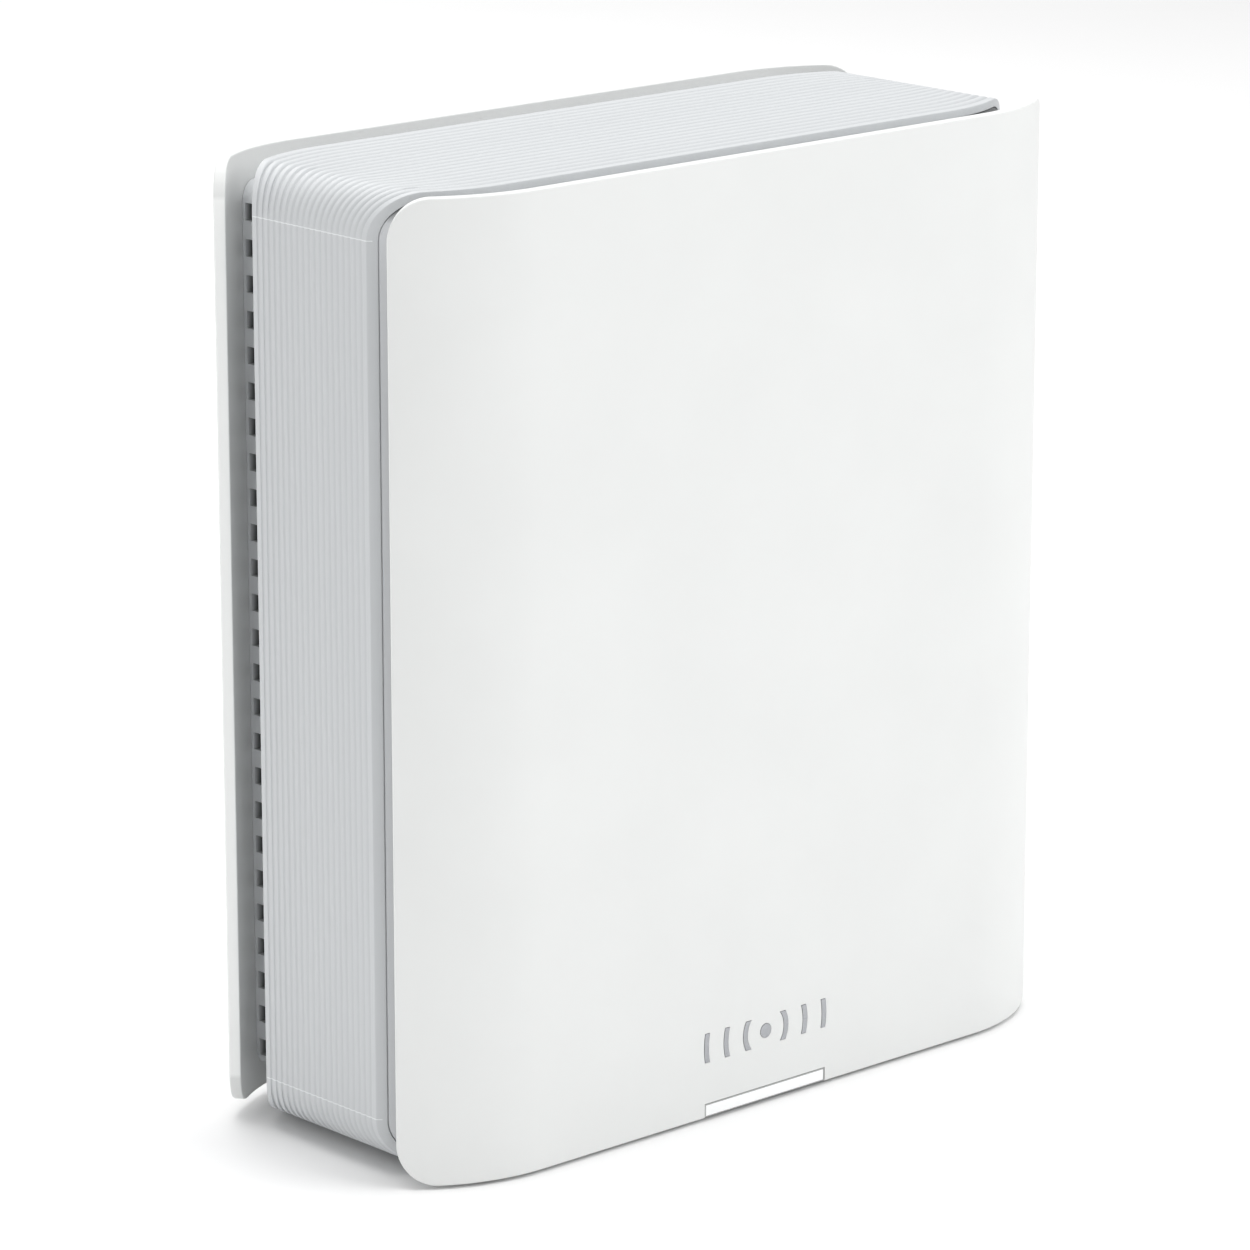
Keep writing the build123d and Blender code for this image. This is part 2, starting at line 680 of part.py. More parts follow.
# Chassis and boards ---------------------------------------------------------------------------


def chassis_frame():
    """Flat ring with two cross bars, clamped between the posts of the vent frames."""
    height = BODY_HEIGHT - 2 * CHASSIS_MARGIN
    ring = bar(0, BODY_MID_Z, CHASSIS_WIDTH, height, CHASSIS_CORNER, CHASSIS_Y, BOARD_Y)
    width = CHASSIS_WIDTH - 2 * CHASSIS_UPRIGHT
    opening = (height - 2 * CHASSIS_BAR - 2 * CHASSIS_GAP) / 3
    for step in (-1, 0, 1):
        centre = BODY_MID_Z + step * (opening + CHASSIS_GAP)
        ring = ring - bar(0, centre, width, opening, CHASSIS_OPENING_CORNER, CHASSIS_Y, BOARD_Y)
    for hole in at_posts(lambda x, z: screw_hole(x, z, CHASSIS_Y, BOARD_Y)):
        ring = ring - hole
    for x, z in board_screws_at():
        ring = ring - screw_hole(x, z, CHASSIS_Y, BOARD_Y)
    return ring


def chassis_screws():
    """Four long screws through the rear posts and the chassis into the front posts."""
    return at_posts(lambda x, z: screw(x, z, SCREW_SEAT_Y, CHASSIS_Y - CHASSIS_SCREW_DEPTH))


def board_screws_at():
    """Positions of the screws that hold the board to the chassis."""
    return [(side * BOARD_SCREW_X, BODY_MID_Z + rise) for side in (-1, 1) for rise in BOARD_SCREW_RISES]


def main_board():
    """Main circuit board."""
    board = bar(0, BODY_MID_Z, BOARD_WIDTH, BOARD_HEIGHT, BOARD_CORNER, BOARD_Y, BOARD_BACK)
    for x, z in board_screws_at():
        board = board - screw_hole(x, z, BOARD_Y, BOARD_BACK)
    return board


def board_screws():
    """Eight short screws, heads on the back of the board."""
    return [screw(x, z, BOARD_BACK, CHASSIS_Y + 0.5) for x, z in board_screws_at()]


def front_chip(x, z, width, height, thickness=CHIP_THICKNESS):
    """Flat package soldered to the front of the board, inside an opening of the chassis."""
    return bar(x, z, width, height, CHIP_EDGE, BOARD_Y - thickness, BOARD_Y)


def processor():
    """Main processor."""
    return front_chip(0, PROCESSOR_Z, PROCESSOR_SIZE, PROCESSOR_SIZE, PROCESSOR_THICKNESS)


def memory_chips():
    """Two memory packages beside the processor, and the flash chip."""
    return [front_chip(*sizes) for sizes in MEMORY_SIZES]


def radio_chips():
    """Four radio packages, one for each band, inside the shielding cans."""
    return [front_chip(x, RADIO_Z, RADIO_SIZE, RADIO_SIZE) for x in RADIO_X]


def shield_can(x):
    """Pressed-metal can over one radio, open towards the board."""
    outer = bar(x, RADIO_Z, CAN_WIDTH, CAN_HEIGHT, CAN_CORNER, BOARD_Y - CAN_DEPTH, BOARD_Y)
    inner = bar(x, RADIO_Z, CAN_WIDTH - 2 * CAN_SHEET, CAN_HEIGHT - 2 * CAN_SHEET, CAN_CORNER - CAN_SHEET,
                BOARD_Y - CAN_DEPTH + CAN_SHEET, BOARD_Y)
    return outer - inner


def thermal_pads():
    """Soft pads between the packages and the front heat sink."""
    pads = [bar(0, PROCESSOR_Z, PROCESSOR_SIZE, PROCESSOR_SIZE, PAD_CORNER,
                FRONT_SINK_BACK, BOARD_Y - PROCESSOR_THICKNESS)]
    for x in RADIO_X:
        pads.append(bar(x, RADIO_Z, PAD_SIZE, PAD_SIZE, PAD_CORNER, FRONT_SINK_BACK, BOARD_Y - CAN_DEPTH))
    return pads


def fins(count, pitch, z, height, y_from, y_to):
    """Row of upright fins along X."""
    first = -(count - 1) * pitch / 2
    return [bar(first + index * pitch, z, FIN_THICKNESS, height, 0, y_from, y_to) for index in range(count)]


def front_heatsink():
    """Large finned heat sink in front of the board."""
    root = FRONT_SINK_BACK - SINK_BASE
    base = bar(0, FRONT_SINK_Z, FRONT_SINK_WIDTH, FRONT_SINK_HEIGHT, SINK_CORNER, root, FRONT_SINK_BACK)
    return base + fins(FRONT_FIN_COUNT, FRONT_FIN_PITCH, FRONT_SINK_Z, FRONT_SINK_HEIGHT - 2 * FIN_MARGIN,
                       FRONT_SINK_FRONT, root)


def rear_heatsink():
    """Finned heat sink behind the board, above the sockets."""
    face = BOARD_BACK + REAR_PAD_THICKNESS
    base = bar(0, REAR_SINK_Z, REAR_SINK_WIDTH, REAR_SINK_HEIGHT, SINK_CORNER, face, face + SINK_BASE)
    return base + fins(REAR_FIN_COUNT, REAR_FIN_PITCH, REAR_SINK_Z, REAR_SINK_HEIGHT - 2 * FIN_MARGIN,
                       face + SINK_BASE, REAR_SINK_BACK)


def rear_thermal_pads():
    """Soft pads between the board's back and the rear heat sink."""
    face = BOARD_BACK + REAR_PAD_THICKNESS
    return [bar(x, RADIO_Z, PAD_SIZE, PAD_SIZE, PAD_CORNER, BOARD_BACK, face) for x in RADIO_X]


def network_transformers():
    """Row of isolation transformers above the sockets, on the front of the board."""
    size = (TRANSFORMER_WIDTH, TRANSFORMER_HEIGHT, TRANSFORMER_THICKNESS)
    return [front_chip(jack_x(index), TRANSFORMER_Z, *size) for index in range(JACK_COUNT)]


def capacitors():
    """Upright capacitors near the power inlet."""
    top = BOARD_BACK + CAPACITOR_LENGTH
    cans = [rod(x, CAPACITOR_Z, CAPACITOR_RADIUS, BOARD_BACK, top) for x in CAPACITOR_X]
    return [fillet(can.faces().sort_by(Axis.Y)[-1].edges(), CAPACITOR_EDGE) for can in cans]


# Antennas -------------------------------------------------------------------------------------


def tray_screws_at():
    """Positions of the screws that hold the antenna tray."""
    heights = (BODY_MID_Z - TRAY_SCREW_RISE, BODY_MID_Z + TRAY_SCREW_RISE)
    return [(side * TRAY_SCREW_X, z) for side in (-1, 1) for z in heights]


def antenna_tray():
    """Plastic tray in front of the heat sink, open in the middle for the air."""
    back = TRAY_Y + TRAY_THICKNESS
    tray = bar(0, BODY_MID_Z, TRAY_WIDTH, TRAY_HEIGHT, TRAY_CORNER, TRAY_Y, back)
    tray = tray - bar(0, BODY_MID_Z + TRAY_OPENING_RISE, TRAY_OPENING_WIDTH, TRAY_OPENING_HEIGHT,
                      TRAY_OPENING_CORNER, TRAY_Y, back)
    for x, z in tray_screws_at():
        tray = tray - screw_hole(x, z, TRAY_Y, back)
    return tray


def antenna_places():
    """Place and size (x, z, width, height) of each antenna board on the tray."""
    places = []
    for side in (-1, 1):
        for rise in UPRIGHT_ANTENNA_RISES:
            places.append((side * UPRIGHT_ANTENNA_X, BODY_MID_Z + rise, ANTENNA_WIDTH, ANTENNA_LENGTH))
        for rise in LYING_ANTENNA_RISES:
            places.append((side * LYING_ANTENNA_X, BODY_MID_Z + rise, ANTENNA_LENGTH, ANTENNA_WIDTH))
    return places


def antenna_board(x, z, width, height):
    """Printed antenna: a thin board with its raised radiator strip."""
    face = TRAY_Y - ANTENNA_THICKNESS
    board = bar(x, z, width, height, 1, face, TRAY_Y)
    strip_width = width / 4 if height > width else width - 2 * RADIATOR_MARGIN
    strip_height = height - 2 * RADIATOR_MARGIN if height > width else height / 4
    return board + bar(x, z, strip_width, strip_height, 0, face - RADIATOR_THICKNESS, face)


def antenna_plugs():
    """Coaxial sockets on the front of the board, where the antenna leads end."""
    return [rod(x, PLUG_Z, PLUG_RADIUS, BOARD_Y - PLUG_LENGTH, BOARD_Y) for x in PLUG_X]


# Sockets and controls -------------------------------------------------------------------------


def jack_x(index):
    """Middle of one network socket along X."""
    return FIRST_JACK_X - index * JACK_PITCH


def port_plate_screws_at():
    """Positions of the screws at the corners of the port plate."""
    x = WINDOW_WIDTH / 2 + PLATE_MARGIN_Z
    return [(side * x, WINDOW_Z + level * PLATE_SCREW_RISE) for side in (-1, 1) for level in (-1, 1)]


def port_plate():
    """Recessed tray behind the window, with the openings for sockets and controls."""
    plate = bar(0, WINDOW_Z, WINDOW_WIDTH + 2 * PLATE_MARGIN_X, WINDOW_HEIGHT + 2 * PLATE_MARGIN_Z,
                PLATE_CORNER, PORT_PLATE_Y, PORT_RIM_Y)
    plate = plate - bar(0, WINDOW_Z, WINDOW_WIDTH, WINDOW_HEIGHT, WINDOW_CORNER, PORT_FACE, PORT_RIM_Y)
    for index in range(JACK_COUNT):
        plate = plate - plate_hole(jack_x(index), JACK_WIDTH, JACK_HEIGHT)
    plate = plate - plate_hole(USB_X, USB_WIDTH, USB_HEIGHT)
    plate = plate - plate_hole(SWITCH_X, SWITCH_WIDTH, SWITCH_HEIGHT)
    plate = plate - plate_hole(INLET_X, INLET_WIDTH, INLET_HEIGHT)
    plate = plate - rod(BUTTON_X, BUTTON_Z, CAP_HOLE_RADIUS, PORT_PLATE_Y, PORT_FACE)
    plate = plate - rod(BUTTON_X, RESET_Z, RESET_HOLE_RADIUS, PORT_PLATE_Y, PORT_FACE)
    for x, z in port_plate_screws_at():
        plate = plate - screw_hole(x, z, PORT_PLATE_Y, PORT_RIM_Y)
    return plate


def plate_hole(x, width, height):
    """Opening in the port plate round a socket."""
    return bar(x, PORT_Z, width + 2 * HOLE_GAP, height + 2 * HOLE_GAP, 0, PORT_PLATE_Y, PORT_FACE)


def port_plate_screws():
    """Four screws from inside through the port plate into the rear cover."""
    return [screw(x, z, PORT_PLATE_Y, PLATE_SCREW_TIP_Y) for x, z in port_plate_screws_at()]


def ethernet_jack(index):
    """Network socket: shielded shell with its mouth and the notch for the plug's latch."""
    x = jack_x(index)
    shell = bar(x, PORT_Z, JACK_WIDTH, JACK_HEIGHT, JACK_EDGE, BOARD_BACK, PORT_FACE - JACK_SINK)
    latch_y = PORT_FACE - LATCH_DEPTH
    mouth = bar(x, PORT_Z - MOUTH_DROP, MOUTH_WIDTH, MOUTH_HEIGHT, 0, PORT_FACE - MOUTH_DEPTH, PORT_FACE)
    notch = bar(x, PORT_Z + LATCH_RISE, LATCH_WIDTH, LATCH_HEIGHT, 0, latch_y, PORT_FACE)
    tip = bar(x, PORT_Z + LATCH_TIP_RISE, LATCH_TIP_WIDTH, LATCH_TIP_HEIGHT, 0, latch_y, PORT_FACE)
    return shell - mouth - notch - tip


def jack_contacts():
    """Spring contacts on the floor of the sockets."""
    wires = []
    z = PORT_Z - CONTACT_DROP
    for index in range(JACK_COUNT):
        for pin in range(CONTACT_COUNT):
            x = jack_x(index) + (pin - (CONTACT_COUNT - 1) / 2) * CONTACT_PITCH
            wires.append(bar(x, z, CONTACT_WIDTH, CONTACT_HEIGHT, 0,
                             PORT_FACE - CONTACT_BACK, PORT_FACE - CONTACT_FRONT))
    return wires


def usb_socket():
    """USB socket with its tongue."""
    shell = bar(USB_X, PORT_Z, USB_WIDTH, USB_HEIGHT, USB_EDGE, BOARD_BACK, PORT_FACE + USB_RIM)
    mouth = bar(USB_X, PORT_Z, USB_WIDTH - 2 * USB_SHEET, USB_HEIGHT - 2 * USB_SHEET, 0,
                PORT_FACE - USB_DEPTH, PORT_FACE + USB_RIM)
    tongue = bar(USB_X, PORT_Z + TONGUE_RISE, TONGUE_WIDTH, TONGUE_HEIGHT, 0,
                 PORT_FACE - USB_DEPTH, PORT_FACE - USB_RIM)
    return shell - mouth + tongue


def power_inlet():
    """Low-voltage inlet for a round plug, with its centre pin."""
    block = bar(INLET_X, PORT_Z, INLET_WIDTH, INLET_HEIGHT, INLET_CORNER, BOARD_BACK, PORT_FACE - INLET_SINK)
    mouth = rod(INLET_X, PORT_Z, INLET_RADIUS, PORT_FACE - INLET_DEPTH, PORT_FACE)
    pin = rod(INLET_X, PORT_Z, INLET_PIN_RADIUS, PORT_FACE - INLET_DEPTH, PORT_FACE - 1)
    return block - mouth + pin


def switch_housing():
    """Housing of the power switch, with the bores for the rocker's pivot."""
    front = PORT_FACE + SWITCH_FLANGE_THICKNESS
    housing = bar(SWITCH_X, PORT_Z, SWITCH_WIDTH, SWITCH_HEIGHT, SWITCH_EDGE, BOARD_BACK, PORT_FACE)
    flange = bar(SWITCH_X, PORT_Z, SWITCH_WIDTH + 2 * SWITCH_FLANGE, SWITCH_HEIGHT + 2 * SWITCH_FLANGE,
                 SWITCH_FLANGE, PORT_FACE, front)
    pocket = bar(SWITCH_X, PORT_Z, POCKET_WIDTH, POCKET_HEIGHT, 0, PORT_FACE - POCKET_DEPTH, front)
    bore = Rot(0, 90, 0) * Cylinder(PIVOT_RADIUS + FIT, PIVOT_BORE_LENGTH)
    return housing + flange - pocket - Pos(SWITCH_X, ROCKER_PIVOT_Y, PORT_Z) * bore


def power_rocker():
    """Rocker of the power switch, tilted to its off position, with its pivot pin."""
    half = [(ROCKER_FOOT_Y, ROCKER_FOOT_HALF), (ROCKER_SHOULDER, ROCKER_TIP), (ROCKER_CREST, ROCKER_TIP)]
    dish = (ROCKER_CREST - ROCKER_DISH, 0)
    other_half = [(y, -z) for y, z in reversed(half)]
    outline = Polyline(*half, dish, *other_half, close=True)
    block = extrude(Plane.YZ.offset(-ROCKER_WIDTH / 2) * make_face(outline), ROCKER_WIDTH)
    pin = Rot(0, 90, 0) * Cylinder(PIVOT_RADIUS, PIVOT_LENGTH)
    return Pos(SWITCH_X, ROCKER_PIVOT_Y, PORT_Z) * Rot(ROCKER_TILT, 0, 0) * (block + pin)


def button_collar(z, radius):
    """Collar that keeps a button behind the port plate."""
    return rod(BUTTON_X, z, radius, PORT_PLATE_Y - COLLAR_FRONT, PORT_PLATE_Y - COLLAR_BACK)


def pairing_button():
    """Round push button, standing out of the port plate, with its collar behind."""
    cap = rod(BUTTON_X, BUTTON_Z, CAP_RADIUS, PORT_PLATE_Y - CAP_ROOT, PORT_FACE + CAP_RISE)
    cap = fillet(cap.faces().sort_by(Axis.Y)[-1].edges(), CAP_EDGE)
    collar = button_collar(BUTTON_Z, PAIRING_COLLAR_RADIUS)
    return cap + collar + rod(BUTTON_X, BUTTON_Z, PAIRING_STEM_RADIUS, BOARD_BACK + STEM_FOOT,
                              PORT_PLATE_Y - COLLAR_FRONT)


def reset_button():
    """Slim button behind the pin hole."""
    stem = rod(BUTTON_X, RESET_Z, RESET_STEM_RADIUS, BOARD_BACK + STEM_FOOT, PORT_FACE - RESET_SINK)
    return stem + button_collar(RESET_Z, RESET_COLLAR_RADIUS)


def tact_switch(z):
    """Small press switch on the board, behind one button."""
    top = BOARD_BACK + TACT_HEIGHT
    body = bar(BUTTON_X, z, TACT_SIZE, TACT_SIZE, TACT_EDGE, BOARD_BACK, top)
    return body + rod(BUTTON_X, z, TACT_STEM_RADIUS, top, BOARD_BACK + TACT_STEM_END)


def cover_screws(side):
    """Six screws that hold one cover; side is -1 for the front and 1 for the rear."""
    screws = [screw(x, z, LUG_BACK_Y, COVER_SCREW_TIP_Y) for x, z in cover_screws_at()]
    if side < 0:
        return screws
    return [mirror(piece, Plane.XZ) for piece in screws]


def tray_screws():
    """Four screws through the antenna tray."""
    return [screw(x, z, TRAY_Y + TRAY_THICKNESS, TRAY_Y - TRAY_SCREW_DEPTH) for x, z in tray_screws_at()]


def all_nodes():
    """Every node of the router: its name and its solids."""
    nodes = {
        "front_panel": front_panel(),
        "rear_panel": rear_panel(),
        "status_light": status_light(),
        "light_guide": light_guide(),
        "light_board": light_board(),
        "light_board_screws": light_board_screws(),
        "signal_badge": signal_badge(),
        "body_band": body_band(),
        "rubber_feet": rubber_feet(),
        "rating_plate": rating_plate(),
        "front_vent_frame": front_vent_frame(),
        "rear_vent_frame": rear_vent_frame(),
        "chassis_frame": chassis_frame(),
        "chassis_screws": chassis_screws(),
        "main_board": main_board(),
        "board_screws": board_screws(),
        "processor": processor(),
        "memory_chips": memory_chips(),
        "radio_chips": radio_chips(),
        "thermal_pads": thermal_pads(),
        "rear_thermal_pads": rear_thermal_pads(),
        "front_heatsink": front_heatsink(),
        "rear_heatsink": rear_heatsink(),
        "network_transformers": network_transformers(),
        "capacitors": capacitors(),
        "antenna_tray": antenna_tray(),
        "tray_screws": tray_screws(),
        "antenna_plugs": antenna_plugs(),
        "port_plate": port_plate(),
        "port_plate_screws": port_plate_screws(),
        "jack_contacts": jack_contacts(),
        "usb_socket": usb_socket(),
        "power_inlet": power_inlet(),
        "switch_housing": switch_housing(),
        "power_rocker": power_rocker(),
        "pairing_button": pairing_button(),
        "pairing_switch": tact_switch(BUTTON_Z),
        "reset_button": reset_button(),
        "reset_switch": tact_switch(RESET_Z),
        "front_cover_screws": cover_screws(-1),
        "rear_cover_screws": cover_screws(1),
    }
    for number, x in enumerate(RADIO_X, start=1):
        nodes[f"shield_can_{number}"] = shield_can(x)
    for number, place in enumerate(antenna_places(), start=1):
        nodes[f"antenna_board_{number}"] = antenna_board(*place)
    for index in range(JACK_COUNT):
        nodes[f"ethernet_jack_{index + 1}"] = ethernet_jack(index)
    return nodes


os.makedirs("parts", exist_ok=True)
for name, shape in all_nodes().items():
    pieces = Compound(children=list(shape)) if isinstance(shape, list) else shape
    export_step(pieces, f"parts/{name}.step")
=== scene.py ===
"""Looks of an upright wireless router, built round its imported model.

Two bent covers stand before and behind a ribbed band. Lengths are in metres, +Z is up, the front
cover faces -Y. Each sub-assembly is a class that builds its meshes and dresses them; each finish is
a frozen dataclass that makes one material.
"""
import json
import logging
import math
from dataclasses import dataclass
from enum import Enum
from typing import Callable, Iterable, Optional, Sequence, Union

import bmesh
import bpy
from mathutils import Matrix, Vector


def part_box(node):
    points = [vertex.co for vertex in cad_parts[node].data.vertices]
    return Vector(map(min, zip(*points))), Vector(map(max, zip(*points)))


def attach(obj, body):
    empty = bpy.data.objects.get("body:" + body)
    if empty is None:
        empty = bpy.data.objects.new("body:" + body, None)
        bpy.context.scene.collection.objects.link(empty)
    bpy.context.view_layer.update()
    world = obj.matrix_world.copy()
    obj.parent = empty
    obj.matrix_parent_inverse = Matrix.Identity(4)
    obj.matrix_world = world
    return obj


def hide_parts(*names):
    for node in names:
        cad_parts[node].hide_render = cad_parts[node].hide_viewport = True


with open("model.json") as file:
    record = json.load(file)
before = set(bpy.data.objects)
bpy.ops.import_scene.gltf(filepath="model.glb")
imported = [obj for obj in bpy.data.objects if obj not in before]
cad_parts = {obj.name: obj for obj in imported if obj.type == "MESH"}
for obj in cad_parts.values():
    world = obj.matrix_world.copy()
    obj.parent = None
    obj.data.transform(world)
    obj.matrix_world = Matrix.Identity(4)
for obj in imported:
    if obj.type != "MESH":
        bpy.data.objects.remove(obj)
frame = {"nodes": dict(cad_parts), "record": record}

LOG = logging.getLogger("router")
MM = 0.001
GROOVE = "groove"
CUT_EDGE = "cut_edge"
Colour = tuple[float, float, float]


# Modelling ------------------------------------------------------------------------------------


class Element(Enum):
    """Kinds of mesh element that can be picked."""

    VERTEX = "verts"
    EDGE = "edges"
    FACE = "faces"


class Facing(Enum):
    """Which way a cover faces."""

    FRONT = -1
    REAR = 1


class Bench:
    """The modelling steps that every piece goes through, on Blender's own operators."""

    @staticmethod
    def clear() -> None:
        """Leave edit mode and drop the selection."""
        if bpy.context.object and bpy.context.object.mode != "OBJECT":
            bpy.ops.object.mode_set(mode="OBJECT")
        bpy.ops.object.select_all(action="DESELECT")

    @staticmethod
    def settle(name: str) -> bpy.types.Object:
        """Name the active object and move its place, turn and size into its mesh.

        Args:
            name: name of the piece.

        Returns:
            The object, at the origin, unturned and unscaled.
        """
        piece = bpy.context.object
        piece.name = name
        piece.data.name = name
        bpy.ops.object.transform_apply(location=True, rotation=True, scale=True)
        return piece

    @staticmethod
    def block(name: str, low: Sequence[float], high: Sequence[float]) -> bpy.types.Object:
        """Add a cuboid between two corners.

        Args:
            name: name of the piece.
            low: lowest corner.
            high: highest corner.

        Returns:
            The new object.
        """
        Bench.clear()
        middle = [(a + b) / 2 for a, b in zip(low, high)]
        bpy.ops.mesh.primitive_cube_add(size=1.0, location=middle)
        bpy.context.object.scale = [b - a for a, b in zip(low, high)]
        return Bench.settle(name)

    @staticmethod
    def pick(piece: bpy.types.Object, kind: Element, test: Callable[[bmesh.types.BMVert], bool]) -> int:
        """Select the elements that pass a test, in edit mode.

        Args:
            piece: object in edit mode.
            kind: which elements to look at.
            test: tells whether an element is wanted.

        Returns:
            How many elements are selected.
        """
        bpy.context.tool_settings.mesh_select_mode = [kind is other for other in Element]
        mesh = bmesh.from_edit_mesh(piece.data)
        for group in (mesh.faces, mesh.edges, mesh.verts):
            for element in group:
                element.select_set(False)
        wanted = [element for element in getattr(mesh, kind.value) if test(element)]
        for element in wanted:
            element.select_set(True)
        bmesh.update_edit_mesh(piece.data)
        return len(wanted)

    @staticmethod
    def modify(piece: bpy.types.Object, kind: str, **settings: object) -> None:
        """Add a modifier to a piece and apply it.

        Args:
            piece: object to change.
            kind: Blender's name of the modifier.
            settings: its properties.
        """
        Bench.clear()
        piece.select_set(True)
        bpy.context.view_layer.objects.active = piece
        modifier = piece.modifiers.new(kind.lower(), kind)
        for name, value in settings.items():
            setattr(modifier, name, value)
        bpy.ops.object.modifier_apply(modifier=modifier.name)

    @staticmethod
    def cut(piece: bpy.types.Object, tool: bpy.types.Object) -> None:
        """Take one solid out of another, and remove the tool."""
        Bench.modify(piece, "BOOLEAN", operation="DIFFERENCE", solver="EXACT", object=tool)
        bpy.data.objects.remove(tool)

    @staticmethod
    def round_edges(piece: bpy.types.Object, width: float, steps: int = 3, sharp: float = 40.0) -> None:
        """Round every edge that is sharper than an angle.

        Args:
            piece: object to change.
            width: width of the rounding.
            steps: number of faces across it.
            sharp: smallest edge angle that is rounded, in degrees.
        """
        Bench.modify(piece, "BEVEL", width=width, segments=steps, limit_method="ANGLE",
                     angle_limit=math.radians(sharp), harden_normals=False)

    @staticmethod
    def smooth(piece: bpy.types.Object, sharp: float = 35.0) -> None:
        """Shade a piece smooth, but for its edges sharper than an angle in degrees."""
        Bench.clear()
        piece.select_set(True)
        bpy.context.view_layer.objects.active = piece
        bpy.ops.object.shade_smooth_by_angle(angle=math.radians(sharp))

    @staticmethod
    def even_shading(piece: bpy.types.Object) -> None:
        """Lean the shading normals of a piece towards its large faces."""
        Bench.modify(piece, "WEIGHTED_NORMAL", keep_sharp=True, weight=100)

    @staticmethod
    def edit(piece: bpy.types.Object) -> None:
        """Enter edit mode on one piece."""
        Bench.clear()
        piece.select_set(True)
        bpy.context.view_layer.objects.active = piece
        bpy.ops.object.mode_set(mode="EDIT")

    @staticmethod
    def join(pieces: Sequence[bpy.types.Object], name: str) -> bpy.types.Object:
        """Join several objects into one piece."""
        Bench.clear()
        for piece in pieces:
            piece.select_set(True)
        bpy.context.view_layer.objects.active = pieces[0]
        bpy.ops.object.join()
        return Bench.settle(name)


# Materials ------------------------------------------------------------------------------------


Operand = Union["Value", float]


class Value:
    """A socket of a node tree that Python's arithmetic works on."""

    def __init__(self, tree: bpy.types.NodeTree, socket: bpy.types.NodeSocket) -> None:
        """Wrap one output socket."""
        self.tree = tree
        self.socket = socket

    def maths(self, operation: str, *operands: Operand) -> "Value":
        """Add a Math node.

        Args:
            operation: Blender's name of the operation.
            operands: values or numbers, in the node's order.

        Returns:
            The node's result.
        """
        node = self.tree.nodes.new("ShaderNodeMath")
        node.operation = operation
        for slot, operand in zip(node.inputs, operands):
            if isinstance(operand, Value):
                self.tree.links.new(operand.socket, slot)
            else:
                slot.default_value = operand
        return Value(self.tree, node.outputs[0])

    def __add__(self, other: Operand) -> "Value":
        """self + other"""
        return self.maths("ADD", self, other)

    def __radd__(self, other: Operand) -> "Value":
        """other + self"""
        return self.maths("ADD", other, self)

    def __sub__(self, other: Operand) -> "Value":
        """self - other"""
        return self.maths("SUBTRACT", self, other)

    def __rsub__(self, other: Operand) -> "Value":
        """other - self"""
        return self.maths("SUBTRACT", other, self)

    def __mul__(self, other: Operand) -> "Value":
        """self * other"""
        return self.maths("MULTIPLY", self, other)

    def __rmul__(self, other: Operand) -> "Value":
        """other * self"""
        return self.maths("MULTIPLY", other, self)

    def __abs__(self) -> "Value":
        """Size of self, without its sign"""
        return self.maths("ABSOLUTE", self)

    def below(self, limit: Operand) -> "Value":
        """1 where self is under a limit, else 0."""
        return self.maths("LESS_THAN", self, limit)

    def above(self, limit: Operand) -> "Value":
        """1 where self is over a limit, else 0."""
        return self.maths("GREATER_THAN", self, limit)


